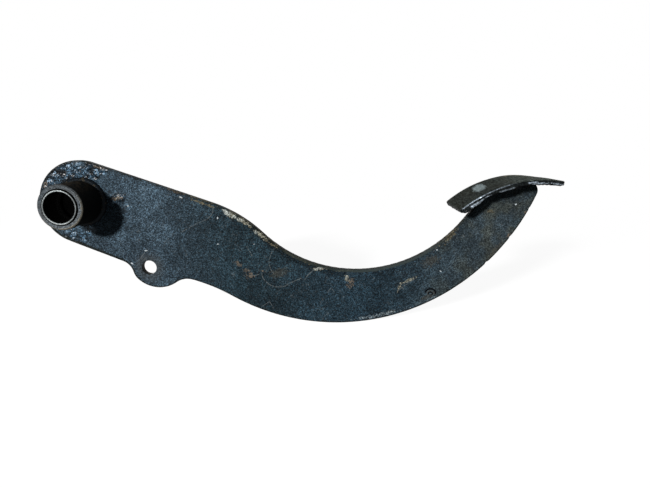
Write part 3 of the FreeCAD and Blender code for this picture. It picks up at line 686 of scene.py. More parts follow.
def arm_paint():
    material, graph, place = new_material("arm_paint")
    arm = arm_surface(graph, place)
    mottle = arm.mottle
    colour, shade = sound_paint(arm)
    colour = crust_and_stains(arm, colour, shade)
    colour, bare, chips = worn_marks(arm, colour)
    colour = edges_and_chips(arm, colour)
    roughness = graph.between(mottle["Grit"], 0.42, 0.62)
    roughness = graph.between(arm.crust, roughness, graph.between(mottle["Cloud"], 0.28, 0.42))
    roughness = graph.between(bare, roughness, 0.6)
    height = graph.math("MULTIPLY_ADD", mottle["Grit"], 0.7, graph.times(mottle["Specks"], 0.3))
    height = graph.math("SUBTRACT", height, graph.times(chips, 0.6))
    finish_material(
        graph, height, 0.12, Base_Color=colour, Roughness=roughness, Specular_IOR_Level=0.03,
        Metallic=graph.times(arm.crust, 0.2), Coat_Weight=graph.times(arm.crust, 0.17),
        Coat_Roughness=0.2,
    )
    return material


ARM_PAINT = arm_paint()
print("arm paint:", len(ARM_PAINT.node_tree.nodes), "nodes")

# %% [markdown]
# ## The tube's finish
# The tube's side is nearly black: dark paint and painted shade, as that side is turned from the
# light. Brown flakes on its top are partly rust and partly painted light on its upper side, and its
# sawn ends are worn grey steel. Two materials would need the ends cut off as faces of their own.
# One material that looks how far along the axis a point lies does it on the CAD mesh as it is. The
# worn ends get lighter towards the lower right, where paint has also flaked off the outer rim, and
# those rim flakes are partly a painted highlight on its chamfer.

# %% Paint the tube
TUBE_STEEL = ((0.016, 0.020, 0.023, 1), (0.115, 0.136, 0.150, 1))
TUBE_BROWN = (0.075, 0.064, 0.055, 1)
TUBE_BARE = (0.26, 0.23, 0.17, 1)
# The side's near black is partly painted shade.
TUBE_BLACK_AND_SHADE = ((0.0006, 0.0010, 0.0012, 1), (0.0030, 0.0032, 0.0030, 1))
# Brown of the flakes on the top, partly rust and partly painted light.
TUBE_RUST_AND_LIGHT = (0.024, 0.019, 0.013, 1)
# Distances from the axis: where the sawn face starts, and where its worn rim does.
TUBE_FACE = (11.5, 12.0)
TUBE_RIM = (12.8, 14.2)
RUST_ABOVE = (7.0, 14.0)
END_FULL = 0.3


def from_axis(graph, place):
    """Distance from the pivot axis in mm."""
    return graph.vector("LENGTH", graph.vector("MULTIPLY", place, (1, 0, 1)))


def end_faces(graph, along, low, high, reach):
    """Mask of both end faces of a round piece. It fades out over reach mm of its side."""
    return graph.most(
        graph.step(along, low.y / MM + reach, low.y / MM + END_FULL),
        graph.step(along, high.y / MM - reach, high.y / MM - END_FULL),
    )


def tube_paint():
    material, graph, place = new_material("tube_paint")
    parts = graph.split(place)
    mottle = use(graph, "Mottle", {"Place": place, "Cloud size": 9.0, "Grit size": 0.9})
    radius = from_axis(graph, place)
    ends = end_faces(graph, parts["Y"], *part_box("pivot_tube"), 1.0)
    ends = graph.times(ends, graph.step(radius, *TUBE_FACE))
    low_right = graph.math("SUBTRACT", graph.times(parts["X"], 0.6), parts["Z"])
    steel = graph.blend(mottle["Grit"], *TUBE_STEEL)
    steel = graph.over(steel, TUBE_BROWN, mottle["Cloud"], 0.28)
    steel = graph.scaled(steel, graph.between(graph.step(low_right, -14.0, 14.0), 0.8, 1.3))
    steel = graph.scaled(steel, graph.between(mottle["Sand"], 0.5, 1.5))
    # Rim flakes, kept to the lower right: partly wear, partly a painted highlight on the chamfer.
    rim = flakes(graph, place, graph.step(radius, *TUBE_RIM), 3.0)
    rim = graph.times(rim, graph.step(low_right, -6.0, 14.0))
    steel = graph.over(steel, TUBE_BARE, rim, 0.6)
    # Flakes on the top: partly rust, partly painted light on the tube's upper side.
    rust = graph.times(flakes(graph, place, 0.6, 4.0), graph.step(parts["Z"], *RUST_ABOVE))
    black = graph.over(graph.blend(mottle["Grit"], *TUBE_BLACK_AND_SHADE), TUBE_RUST_AND_LIGHT, rust, 0.8)
    colour = graph.blend(ends, black, steel)
    finish_material(
        graph, mottle["Grit"], 0.08, Base_Color=colour, Roughness=graph.between(ends, 0.75, 0.5),
        Metallic=graph.times(ends, 0.3), Specular_IOR_Level=0.02,
    )
    return material


TUBE_PAINT = tube_paint()
print("tube paint:", len(TUBE_PAINT.node_tree.nodes), "nodes")

# %% [markdown]
# ## The bush's finish
# The bush is bright only on the ring of its end, where it has been rubbed, and there mostly
# above and below. Its bore is black and dull: old grease, and painted shade in the deep bore. A
# mask of the ring keeps the two apart, again on the CAD mesh as it is.

# %% Finish the bushes
BUSH_TONES = ((0.13, 0.15, 0.15, 1), (0.42, 0.45, 0.45, 1))
# Black of the bore: old grease and painted shade.
GREASE_AND_SHADE = (0.0006, 0.0006, 0.0006, 1)
# Inner and outer border of the bright ring, and how far to its sides it stays bright.
BUSH_RING = ((10.0, 10.1), (10.95, 10.8))
RING_DULLS = (4.0, 9.5)


def bush_steel():
    material, graph, place = new_material("bush_steel")
    mottle = use(graph, "Mottle", {"Place": place, "Cloud size": 6.0, "Grit size": 0.7})
    parts = graph.split(place)
    low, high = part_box("bush_front")[0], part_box("bush_back")[1]
    end = end_faces(graph, parts["Y"], low, high, 0.5)
    ring = graph.times(graph.window(from_axis(graph, place), *BUSH_RING), end)
    beside = graph.step(graph.math("ABSOLUTE", graph.math("ADD", parts["X"], 1.5)), *RING_DULLS)
    steel = graph.blend(mottle["Grit"], *BUSH_TONES)
    steel = graph.scaled(steel, graph.between(beside, 1.1, 0.45))
    # The bore is painted black, as grease and as the shade inside it.
    colour = graph.blend(ring, GREASE_AND_SHADE, steel)
    finish_material(
        graph, mottle["Grit"], 0.03, Base_Color=colour, Roughness=graph.between(ring, 0.8, 0.34),
        Metallic=graph.times(ring, 0.7), Specular_IOR_Level=0.01,
    )
    return material


BUSH_STEEL = bush_steel()
print("bush steel:", len(BUSH_STEEL.node_tree.nodes), "nodes")

# %% [markdown]
# ## The welds' finish
# The welds were painted over with the rest. The paint is thin and glossy on their ripples, and
# rust has come through it in flakes. Their near black tone is dark paint and painted shade, as the
# beads lie in shade beside the tube and under the pad. One material does for the beads and for the
# spatter.

# %% Paint the welds
# Near black of the welds: dark paint and painted shade.
WELD_TONES_AND_SHADE = ((0.0012, 0.0018, 0.0026, 1), (0.0090, 0.0130, 0.0170, 1))
WELD_RUST = (0.10, 0.08, 0.05, 1)


def weld_paint():
    material, graph, place = new_material("weld_paint")
    mottle = use(graph, "Mottle", {"Place": place, "Cloud size": 7.0, "Grit size": 0.8})
    rust = flakes(graph, place, 0.42, 3.0)
    colour = graph.over(graph.blend(mottle["Grit"], *WELD_TONES_AND_SHADE), WELD_RUST, rust, 0.4)
    sound = graph.math("SUBTRACT", 1.0, rust)
    finish_material(
        graph, mottle["Grit"], 0.10, Base_Color=colour, Roughness=graph.between(rust, 0.36, 0.6),
        Specular_IOR_Level=0.04, Metallic=graph.times(sound, 0.12),
    )
    return material


WELD_PAINT = weld_paint()
print("weld paint:", len(WELD_PAINT.node_tree.nodes), "nodes")

# %% [markdown]
# ## The foot pad's finish
# The pad's top is a dull olive brown, lighter towards its far end, with one pale spot where the
# paint is gone and a bare patch at its far corner. Over the rounded edge the paint is thick and
# glossy. The top is seen at a flat angle, and feet have drawn its dirt out across the pad, so
# the mottle is stretched that way.

# %% Paint the foot pad
PAD_OLIVE = ((0.0070, 0.0095, 0.0086, 1), (0.0420, 0.0490, 0.0455, 1))
PAD_BROWN = (0.036, 0.037, 0.027, 1)
PAD_BARE = (0.30, 0.28, 0.21, 1)
PAD_SPOT = ((0.15, 0.19, 0.195, 1), (0.36, 0.43, 0.44, 1))
PAD_GLOSS = ((0.0012, 0.0022, 0.0030, 1), (0.0085, 0.0110, 0.0110, 1))
# Pale colour of the painted glints along the near edge.
PAD_GLINT = (0.68, 0.80, 0.92, 1)
# X over which the top gets lighter, and Y and X over which its far corner gets bare.
PAD_LIGHTENS = (272.0, 308.0)
CORNER_Y = (2.0, 19.0)
CORNER_X = (280.0, 296.0)
# The pale spot, seen from above: its middle (X, Y), half length, half width and turn.
SPOT_CENTRE = (270.8, 3.4)
SPOT_HALF_LENGTH = 11.5
SPOT_HALF_WIDTH = 3.9
SPOT_TURN = -96


def pad_paint():
    material, graph, place = new_material("pad_paint")
    parts = graph.split(place)
    drawn_out = graph.vector("MULTIPLY", place, (1.0, 0.22, 1.0))
    mottle = use(graph, "Mottle", {"Place": drawn_out, "Cloud size": 8.0, "Grit size": 1.3})
    sand, grit = mottle["Sand"], mottle["Grit"]
    uneven = graph.between(sand, 0.2, 1.8)
    olive = graph.scaled(graph.blend(grit, *PAD_OLIVE), uneven)
    olive = graph.over(olive, PAD_BROWN, mottle["Cloud"], 0.4)
    lighter = graph.between(graph.step(parts["X"], *PAD_LIGHTENS), 0.95, 3.4)
    olive = graph.scaled(olive, lighter)
    corner = graph.times(graph.step(parts["Y"], *CORNER_Y), graph.step(parts["X"], *CORNER_X))
    olive = graph.over(olive, PAD_BARE, flakes(graph, place, graph.times(corner, 0.75), 4.0), 0.7)
    from_above = graph.add("ShaderNodeCombineXYZ", {0: parts["X"], 2: parts["Y"]}).outputs[0]
    spot = use(graph, "Rub", {
        "Border": graph.noise(from_above, 1.6, detail=4.0, rough=0.7), "Place": from_above,
        "Centre": (SPOT_CENTRE[0], 0, SPOT_CENTRE[1]), "Half length": SPOT_HALF_LENGTH,
        "Half width": SPOT_HALF_WIDTH, "Turn": math.radians(SPOT_TURN), "Ragged": 0.5,
    })["Mask"]
    olive = graph.over(olive, graph.blend(sand, *PAD_SPOT), spot, 0.95)
    gloss = graph.scaled(graph.blend(grit, *PAD_GLOSS), uneven)
    rim = graph.attribute("rim")
    # The bright attribute is painted glint: highlights and reflections along the glossy near edge.
    bright = graph.times(graph.attribute("bright"), graph.between(sand, 0.25, 1.0))
    colour = graph.over(graph.blend(rim, olive, gloss), PAD_GLINT, bright)
    finish_material(
        graph, grit, 0.06, Base_Color=colour, Roughness=graph.between(rim, 0.6, 0.34),
        Specular_IOR_Level=0.004, Metallic=graph.times(bright, 0.8),
        Coat_Weight=graph.times(rim, 0.12), Coat_Roughness=0.22,
    )
    return material


PAD_PAINT = pad_paint()
print("pad paint:", len(PAD_PAINT.node_tree.nodes), "nodes")

# %% [markdown]
# The tube and the bushes are smooth, turned pieces. Their CAD meshes are good enough as they
# are, so they only get their finish. Every other piece is built again further down.

# %% Finish the CAD pieces that stay
for name, material in (
    ("pivot_tube", TUBE_PAINT), ("bush_front", BUSH_STEEL), ("bush_back", BUSH_STEEL),
):
    NODES[name].data.materials.clear()
    NODES[name].data.materials.append(material)
    print(name, "is finished in", material.name)

# %% [markdown]
# ## The arm's plate
# The CAD arm has the right outline and rounded edge, but its flat faces are a few large
# triangles, which can't hold any relief. So the plate is built again on the CAD outline.
# First the outline is read from the frame and filled in along smooth curves, so that a bend
# stays round when it catches the light.

# %% Read the plate's outline
arm_low, arm_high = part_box("pedal_arm")
HALF_PLATE = (arm_high.y - arm_low.y) / 2
OUTLINE_STEP = 0.7 * MM
EDGE_ROUND = 0.8 * MM
SHARP_TURN = math.radians(25)
# Points this close to a plane lie in it.
LEVEL = 0.01 * MM


def flat_loops(mesh, height):
    """Closed loops of (X, Z) round the flat face at a height along Y, longest first."""
    work = bmesh.new()
    work.from_mesh(mesh)
    bmesh.ops.remove_doubles(work, verts=work.verts, dist=0.0001 * MM)
    flat = {
        face for face in work.faces if all(abs(v.co.y - height) < LEVEL for v in face.verts)
    }
    beside = {}
    for edge in work.edges:
        if sum(face in flat for face in edge.link_faces) == 1:
            first, second = edge.verts
            beside.setdefault(first, []).append(second)
            beside.setdefault(second, []).append(first)
    left = dict.fromkeys(beside)
    loops = []
    while left:
        chain = [next(iter(left))]
        while chain[-1] is not None:
            left.pop(chain[-1])
            chain.append(next((v for v in beside[chain[-1]] if v in left), None))
        loops.append([Vector((v.co.x, v.co.z)) for v in chain[:-1]])
    work.free()
    return sorted((anticlockwise(loop) for loop in loops), key=loop_length, reverse=True)


def pairs(loop):
    return list(zip(loop, loop[1:] + loop[:1]))


def loop_length(loop):
    return sum((b - a).length for a, b in pairs(loop))


def anticlockwise(loop):
    area = sum(a.x * b.y - b.x * a.y for a, b in pairs(loop))
    return loop if area > 0 else loop[::-1]


def smooth_loop(loop, step):
    """The loop with more points, on curves that pass smoothly through all but sharp corners."""
    chords = [b - a for a, b in pairs(loop)]
    points = []
    for number, chord in enumerate(chords):
        before, after = chords[number - 1], chords[(number + 1) % len(chords)]
        leave = chord if before.angle(chord) > SHARP_TURN else before + chord
        arrive = chord if chord.angle(after) > SHARP_TURN else chord + after
        third = chord.length / 3
        start = loop[number]
        end = start + chord
        after_start = start + leave.normalized() * third
        before_end = end - arrive.normalized() * third
        count = max(1, round(chord.length / step))
        points.extend(interpolate_bezier(start, after_start, before_end, end, count + 1)[:-1])
    return [Vector(point[:2]) for point in points]


outline, tube_hole, rod_hole = flat_loops(NODES["pedal_arm"].data, arm_low.y)
outline = smooth_loop(outline, OUTLINE_STEP)
tube_hole = smooth_loop(tube_hole, OUTLINE_STEP)
rod_hole = smooth_loop(rod_hole, OUTLINE_STEP / 2)
print("outline of", len(outline), "points, edge rounded by", round(EDGE_ROUND / MM, 2), "mm")

# %% [markdown]
# The flat faces are filled with points: close together where the surface is rough, further apart
# where it is smooth. A constrained triangulation joins them to the outline and leaves the holes
# open. That keeps the triangles for the places that need them.

# %% Choose the points of a flat face
COARSE = 1.5 * MM
# Fine zones: X, Z, radius and spacing, in mm.
FRONT_ZONES = [(0.0, 0.0, 40.0, 0.5), (239.7, -64.2, 5.5, 0.3)]
BACK_ZONES = [(0.0, 0.0, 30.0, 0.8)]
# Points keep this share of their spacing from the rims.
RIM_CLEAR = 0.6


def nearest(points, targets, block=2000):
    """Nearest target of each point and the distance to it, worked out a block at a time."""
    which = np.empty(len(points), int)
    distance = np.empty(len(points))
    for start in range(0, len(points), block):
        part = points[start:start + block, None, :] - targets[None, :, :]
        squares = (part ** 2).sum(2)
        which[start:start + block] = squares.argmin(1)
        distance[start:start + block] = np.sqrt(squares.min(1))
    return which, distance


def inside(points, loop):
    """Which points lie inside a closed loop, by counting the sides to their right."""
    result = np.zeros(len(points), bool)
    for a, b in pairs(loop):
        crosses = (a.y > points[:, 1]) != (b.y > points[:, 1])
        with np.errstate(divide="ignore", invalid="ignore"):
            reach = a.x + (points[:, 1] - a.y) * (b.x - a.x) / (b.y - a.y)
        result ^= crosses & (points[:, 0] < reach)
    return result


def hex_grid(low_x, high_x, low_z, high_z, spacing):
    """Points of a grid of triangles with equal sides."""
    rows = np.arange(low_z, high_z, spacing * math.sqrt(3) / 2)
    columns = np.arange(low_x, high_x, spacing)
    grid_x, grid_z = np.meshgrid(columns, rows)
    grid_x = grid_x + (np.arange(len(rows)) % 2)[:, None] * spacing / 2
    return np.column_stack([grid_x.ravel(), grid_z.ravel()])


def face_points(zones):
    """Points inside the outline and clear of the holes, finer in the given zones."""
    points = hex_grid(arm_low.x, arm_high.x, arm_low.z, arm_high.z, COARSE)
    spacing = np.full(len(points), COARSE)
    for x, z, radius, step in zones:
        centre, reach, step = np.array((x, z)) * MM, radius * MM, step * MM
        keep = np.linalg.norm(points - centre, axis=1) > reach
        points, spacing = points[keep], spacing[keep]
        low, high = centre - reach, centre + reach
        fine = hex_grid(low[0], high[0], low[1], high[1], step)
        fine = fine[np.linalg.norm(fine - centre, axis=1) <= reach]
        points = np.vstack([points, fine])
        spacing = np.concatenate([spacing, np.full(len(fine), step)])
    rims = np.array([tuple(p) for p in outline + tube_hole + rod_hole])
    keep = inside(points, outline) & ~inside(points, tube_hole) & ~inside(points, rod_hole)
    points, spacing = points[keep], spacing[keep]
    keep = nearest(points, rims)[1] > RIM_CLEAR * np.minimum(spacing, OUTLINE_STEP)
    return [Vector(point) for point in points[keep]]


front_points = face_points(FRONT_ZONES)
back_points = face_points(BACK_ZONES)
print(len(front_points), "points in front,", len(back_points), "behind")

# %% [markdown]
# The rim is a row of rings: each ring is the outline moved out and back by a step of the rounded
# edge, then straight across the wall, then round to the other face. The holes are shorter rows.
# All of it is written to one mesh with shared points, so that it stays closed.

# %% Build the plate
ROUND_STEPS = 4
WALL_STEPS = 4
HOLE_STEPS = 5
HOLE_BREAK = 0.25 * MM


def outward(loop):
    """Unit normals that point out of an anticlockwise loop."""
    count = len(loop)
    result = []
    for number in range(count):
        along = loop[(number + 1) % count] - loop[number - 1]
        result.append(Vector((along.y, -along.x)).normalized())
    return result


def rim_profile(half, front_round, back_round, wall_steps):
    """Steps (outwards, through) round the edge of a plate, from its front face to its back face."""
    turns = [math.radians(90) * step / ROUND_STEPS for step in range(ROUND_STEPS + 1)]
    front = [(front_round * math.sin(t), -half + front_round * (1 - math.cos(t))) for t in turns]
    inset = front_round - back_round
    back = [
        (inset + back_round * math.sin(t), half - back_round * (1 - math.cos(t)))
        for t in reversed(turns)
    ]
    wall = np.linspace(front[-1][1], back[0][1], wall_steps + 1)[1:-1]
    return front + [(front_round, along) for along in wall] + back


def hole_profile(half, broken):
    """Steps (into the metal, through) along a hole whose edges are broken."""
    wall = np.linspace(-half + broken, half - broken, HOLE_STEPS + 1)
    return [(broken, -half)] + [(0, along) for along in wall] + [(broken, half)]


def ring_rows(work, loop, profile):
    """Rows of points along a profile, joined by quads. Returns the first and the last row."""
    sides = list(zip(loop, outward(loop)))
    rows = []
    for out, along in profile:
        rows.append([work.verts.new((p.x + n.x * out, along, p.y + n.y * out)) for p, n in sides])
    for near, far in zip(rows, rows[1:]):
        for (a, b), (c, d) in zip(pairs(near), pairs(far)):
            work.faces.new((a, b, d, c))
    return rows[0], rows[-1]


def fill_face(work, rims, points, along, flip):
    """Triangles from rim to rim through the points of one flat face. Holes stay open.

    A hole's rim is convex, so a triangle whose corners all lie on it is inside the hole.
    """
    verts = [vert for rim in rims for vert in rim]
    sides = []
    start = 0
    for rim in rims:
        sides.extend((start + i, start + (i + 1) % len(rim)) for i in range(len(rim)))
        start += len(rim)
    flat = [Vector((v.co.x, v.co.z)) for v in verts] + points
    verts = verts + [work.verts.new((p.x, along, p.y)) for p in points]
    holes = [set(rim) for rim in rims[1:]]
    for triangle in delaunay_2d_cdt(flat, sides, [], 1, 1e-9)[2]:
        corners = [verts[i] for i in triangle]
        if not any(hole.issuperset(corners) for hole in holes):
            work.faces.new(corners[::-1] if flip else corners)


def build_plate(half, rims, front_points, back_points):
    """Closed plate. Each rim is a loop and its profile, the outline first and then the holes."""
    work = bmesh.new()
    ends = [ring_rows(work, loop, profile) for loop, profile in rims]
    fill_face(work, [front for front, back in ends], front_points, -half, False)
    fill_face(work, [back for front, back in ends], back_points, half, True)
    bmesh.ops.remove_doubles(work, verts=work.verts, dist=0.001 * MM)
    bmesh.ops.recalc_face_normals(work, faces=work.faces)
    print(len(work.faces), "faces,", sum(not edge.is_manifold for edge in work.edges), "open edges")
    return work


plate = build_plate(
    HALF_PLATE,
    [
        (outline, rim_profile(HALF_PLATE, EDGE_ROUND, EDGE_ROUND, WALL_STEPS)),
        (tube_hole, hole_profile(HALF_PLATE, 0.0)),
        (rod_hole, hole_profile(HALF_PLATE, HOLE_BREAK)),
    ],
    front_points, back_points,
)

# %% [markdown]
# ## Relief of the plate
# The plate is hot-rolled steel, so it is a little wavy. Round the tube the weld has thrown a
# crust of small lumps, which the paint only covers. One round mark near the bend was struck into
# the surface, and the edges have a few nicks. A bump map would only darken and lighten such
# lumps. Here they are real relief: each point is moved by a height that depends on where it lies.

# %% Shape the relief
# Crust patches: X, Z, half length, half width, turn in degrees, strength.
CRUST_PATCHES = [
    (-10.0, 17.0, 24.0, 11.5, -20, 1.0), (8.0, 20.5, 12.0, 7.0, 20, 1.0),
    (-24.0, 2.0, 7.0, 14.0, 0, 0.8), (-6.0, -24.0, 13.0, 6.5, 22, 0.9),
    (24.8, 2.2, 6.5, 3.6, 15, 0.9), (29.0, -5.0, 4.0, 5.0, 20, 0.35),
]
CRUST_REACH = 45.0
# Waves and grain: size, layer of the noise, height.
FRONT_WAVES = [(22, 0.0, 0.05), (3, 5.0, 0.012)]
BACK_WAVES = [(18, 7.0, 0.04)]
CRUST_GRAIN = [(2.6, 9.0, 0.5), (1.2, 2.0, 0.28)]
CRUST_RISE = 0.15
# Single lumps, and one pit: X, Z, radius, rise.
LUMPS = [
    (24.4, 2.6, 3.2, 0.9), (27.6, 1.4, 2.4, 0.6), (7.4, 21.4, 1.5, -0.6), (-1.0, 24.6, 2.0, 0.5),
]
STRUCK_CENTRE = (239.7, -64.6)
# Arches of the struck mark: radius, half width, rise.
STRUCK_ARCHES = [(3.7, 0.75, -0.35), (2.5, 0.6, 0.12), (1.4, 0.55, -0.35)]
# Nicks in the lower edge: X, Z, radius, cut.
NICKS = [
    (304.6, -4.2, 1.6, 0.5), (303.0, -8.4, 1.3, 0.6), (292.2, -23.2, 1.6, 0.5),
    (277.4, -42.0, 2.0, 0.6),
]


def soft(value):
    """Smooth step from 0 at 0 to 1 at 1."""
    value = min(1.0, max(0.0, value))
    return value * value * (3 - 2 * value)


def uneven(x, z, size, layer):
    """Smooth random height from -1 to 1 whose lumps are about as wide as size."""
    return noise.noise((x / size, layer, z / size))


def waves(x, z, rows):
    """Sum of several uneven heights, each with its own size."""
    return sum(height * uneven(x, z, size, layer) for size, layer, height in rows)


def bump(x, z, centre_x, centre_z, radius, rise):
    """Height of one round lump, or depth of one nick."""
    return rise * soft(1 - math.hypot(x - centre_x, z - centre_z) / radius)


def crust_at(x, z):
    """How much weld crust lies at a place, from 0 to 1."""
    best = 0.0
    for centre_x, centre_z, half_length, half_width, turn, strength in CRUST_PATCHES:
        angle = math.radians(turn)
        dx, dz = x - centre_x, z - centre_z
        along = (dx * math.cos(angle) + dz * math.sin(angle)) / half_length
        across = (dz * math.cos(angle) - dx * math.sin(angle)) / half_width
        reach = math.hypot(along, across) + 0.35 * uneven(x, z, 5, 3.0)
        best = max(best, strength * soft((1.15 - reach) / 0.45))
    return best


def wear_at(x, upper, distance):
    """How far the paint has gone, at a distance from the outline: 0 to 1 above, 0 to -1 below."""
    best = 0.35 * soft(1 - distance) if upper > 0 else 0.0
    for start, end, side, width, strength in EDGE_WEAR:
        inside_ends = soft(min(x - start, end - x) / 3)
        if side == upper and inside_ends > 0:
            clear_of_edge = soft(0.2 + distance) if width > 1.5 else 1.0
            best = max(best, strength * inside_ends * clear_of_edge * soft(1.5 - distance / width))
    return best * upper


def struck_at(x, z):
    """Depth and tone of the struck mark: 1 in its grooves, painted dark as dirt and shade, -1 on
    the ridge between them.
    """
    dx, dz = x - STRUCK_CENTRE[0], z - STRUCK_CENTRE[1]
    reach = math.hypot(dx, dz)
    open_below = soft((dz + 0.45 * dx + 1.6) / 1.4) * soft((dz - 0.5 * dx + 2.4) / 1.4)
    rise = tone = 0.0
    for radius, width, full_rise in STRUCK_ARCHES:
        share = soft(1.3 - abs(reach - radius) / width) * open_below
        rise += full_rise * share
        tone -= math.copysign(share, full_rise)
    return rise, max(-1.0, min(1.0, tone))


def front_height(x, z, crust):
    """Relief of the front face in mm."""
    height = waves(x, z, FRONT_WAVES)
    if crust > 0:
        height += crust * (CRUST_RISE + waves(x, z, CRUST_GRAIN))
    for lump in LUMPS:
        height += bump(x, z, *lump)
    return height + struck_at(x, z)[0]


def edge_depth(x, z, y):
    """How far the rounded edge and wall are worn back, in mm. Always inwards."""
    depth = 0.06 + 0.04 * noise.noise((x / 2.2, y / 2.2, z / 2.2))
    depth += 0.03 * noise.noise((x / 0.9, y, z / 0.9))
    for nick in NICKS:
        depth += bump(x, z, *nick)
    return depth


print(len(CRUST_PATCHES), "patches of crust,", len(LUMPS), "lumps and", len(NICKS), "nicks")

# %% [markdown]
# The heights are now given to the points. The faces are moved straight out or in, along Y, and
# the rim along its normals, so that no point slides sideways. The same walk over the points keeps
# the numbers that the paint reads. A rim that is pushed out would make the part larger than the
# CAD one, so the points are held inside its box.

# %% Move the points of the plate
# Round the holes the walls stay true: distances in mm from their axes.
TUBE_HOLE_KEPT = 15.5
ROD_HOLE_KEPT = 5.6
# Distances from the edge are kept up to this many mm.
EDGE_FARTHEST = 10.0
plate.verts.ensure_lookup_table()
plate.normal_update()
rim_points = np.array([tuple(p) for p in outline]) / MM
places = np.array([(v.co.x, v.co.z) for v in plate.verts]) / MM
rim_normals = outward(outline)
plate_values = {"wear": [], "crust": [], "struck": [], "from_edge": []}
moves = []
for vert, which, distance in zip(plate.verts, *nearest(places, rim_points)):
    x, y, z = vert.co / MM
    upper = 1 if rim_normals[which].y > 0 else -1
    on_rim = abs(y) < HALF_PLATE / MM - 0.001
    in_front = y < 0
    from_tube, from_rod = math.hypot(x, z), math.hypot(x - ROD_HOLE[0], z - ROD_HOLE[1])
    outside_holes = from_tube > TUBE_HOLE_KEPT and from_rod > ROD_HOLE_KEPT
    crust = crust_at(x, z) if in_front and from_tube < CRUST_REACH else 0.0
    height = front_height(x, z, crust) if in_front else waves(x, z, BACK_WAVES)
    if on_rim:
        height = -edge_depth(x, z, y) + min(0.0, height * 0.5) if outside_holes else 0.0
    wear = wear_at(x, upper, distance) if y < 0.5 else 0.3 * soft(1 - distance)
    plate_values["wear"].append(wear)
    plate_values["crust"].append(crust if outside_holes else 0.0)
    plate_values["struck"].append(struck_at(x, z)[1] if in_front else 0.0)
    plate_values["from_edge"].append(min(distance, EDGE_FARTHEST))
    direction = vert.normal if on_rim else Vector((0, math.copysign(1, y), 0))
    moves.append(direction * height * MM)
for vert, move in zip(plate.verts, moves):
    vert.co += move
    vert.co.x = max(vert.co.x, cad_box[0].x)
    vert.co.z = min(max(vert.co.z, cad_box[0].z), cad_box[1].z)
print("largest move:", round(max(move.length for move in moves) / MM, 2), "mm")

# %% [markdown]
# The finished points become a mesh of their own. Each number that the paint reads is kept as an
# attribute of the mesh. The new piece rides on the part's only body and stands for the CAD piece,
# which is then hidden. These two small functions serve every piece below.

# %% Write the plate's mesh
def finished_mesh(name, work, values):
    """Smooth mesh with the points of a bmesh and a list of numbers for each attribute."""
    mesh = bpy.data.meshes.new(name)
    work.to_mesh(mesh)
    work.free()
    for label, numbers in values.items():
        attribute = mesh.attributes.new(label, "FLOAT", "POINT")
        attribute.data.foreach_set("value", np.array(numbers, np.float32))
    mesh.shade_smooth()
    return mesh


def new_piece(name, mesh, material, slot, *stands_for):
    """Object at the origin that rides on the part's only body."""
    mesh.materials.clear()
    mesh.materials.append(material)
    piece = bpy.data.objects.new(name, mesh)
    bpy.context.scene.collection.objects.link(piece)
    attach(piece, "root")
    if stands_for:
        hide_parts(*stands_for)


arm_mesh = finished_mesh("arm_plate", plate, plate_values)
new_piece("arm_plate", arm_mesh, ARM_PAINT, "arm_paint", "pedal_arm")
print("arm plate:", len(arm_mesh.polygons), "faces")

# %% [markdown]
# ## The foot pad
# The pad is a bent sheet. It is made flat with the same tools as the arm's plate, a rounded
# rectangle with a round top edge, and is then bent round the curve's centre. Relief is easy to
# place on the flat sheet: the top is a little wavy, and thick paint has run along the near edge
# and hangs there in a ragged bead, dark relief that also fills the shade below that edge.

# %% Draw the pad flat
PAD_CENTRE = (304.96 * MM, -63.07 * MM)
PAD_RADIUS = 80.0 * MM
PAD_FIRST = math.radians(131.17)
PAD_LENGTH = 71.4 * MM
PAD_THICKNESS = 3.0 * MM
PAD_CORNER = 2.0 * MM
PAD_ROUND = 1.0 * MM
PAD_FOOT_ROUND = 0.2 * MM
PAD_STEP = 0.45 * MM
# The points of the flat faces: how far they reach across, their spacing, their gap from the rim.
PAD_REACH = 20 * MM
PAD_SPACING = 1.1 * MM
PAD_CLEAR = 0.4 * MM
PAD_WALL_STEPS = 9
CORNER_STEPS = 6
pad_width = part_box("pad_plate")[1].y * 2


def rounded_rectangle(length, width, radius, step):
    """Anticlockwise loop of a rectangle with round corners, from 0 to its length."""
    loop = []
    centres = [(length - radius, radius - width / 2), (length - radius, width / 2 - radius),
               (radius, width / 2 - radius), (radius, radius - width / 2)]
    for number, (x, y) in enumerate(centres):
        for corner_step in range(CORNER_STEPS + 1):
            turn = math.radians(-90 + 90 * number + 90 / CORNER_STEPS * corner_step)
            loop.append(Vector((x + radius * math.cos(turn), y + radius * math.sin(turn))))
    filled = []
    for a, b in pairs(loop):
        count = max(1, round((b - a).length / step))
        filled.extend(a.lerp(b, number / count) for number in range(count))
    return filled


pad_outline = [
    Vector((p.x + PAD_ROUND, p.y)) for p in rounded_rectangle(
        PAD_LENGTH - 2 * PAD_ROUND, pad_width - 2 * PAD_ROUND, PAD_CORNER - PAD_ROUND, PAD_STEP)
]
pad_grid = hex_grid(0, PAD_LENGTH, -PAD_REACH, PAD_REACH, PAD_SPACING)
pad_rim = np.array([tuple(p) for p in pad_outline])
pad_grid = pad_grid[inside(pad_grid, pad_outline)]
pad_points = [Vector(point) for point in pad_grid[nearest(pad_grid, pad_rim)[1] > PAD_CLEAR]]
half_pad = PAD_THICKNESS / 2
pad_profile = rim_profile(half_pad, PAD_ROUND, PAD_FOOT_ROUND, PAD_WALL_STEPS)
pad = build_plate(half_pad, [(pad_outline, pad_profile)], pad_points, pad_points)

# %% [markdown]
# Along the pad's near edge the paint is thick. It has run down and hangs there in four stretches,
# which also fill the dark shade below that edge. Along the arris and in patches low down a pale
# metallic colour is painted glint, the highlights and reflections of that glossy edge. Both are
# written as short lists of stretches with soft ends, which are easier to set against a picture than
# one long formula.

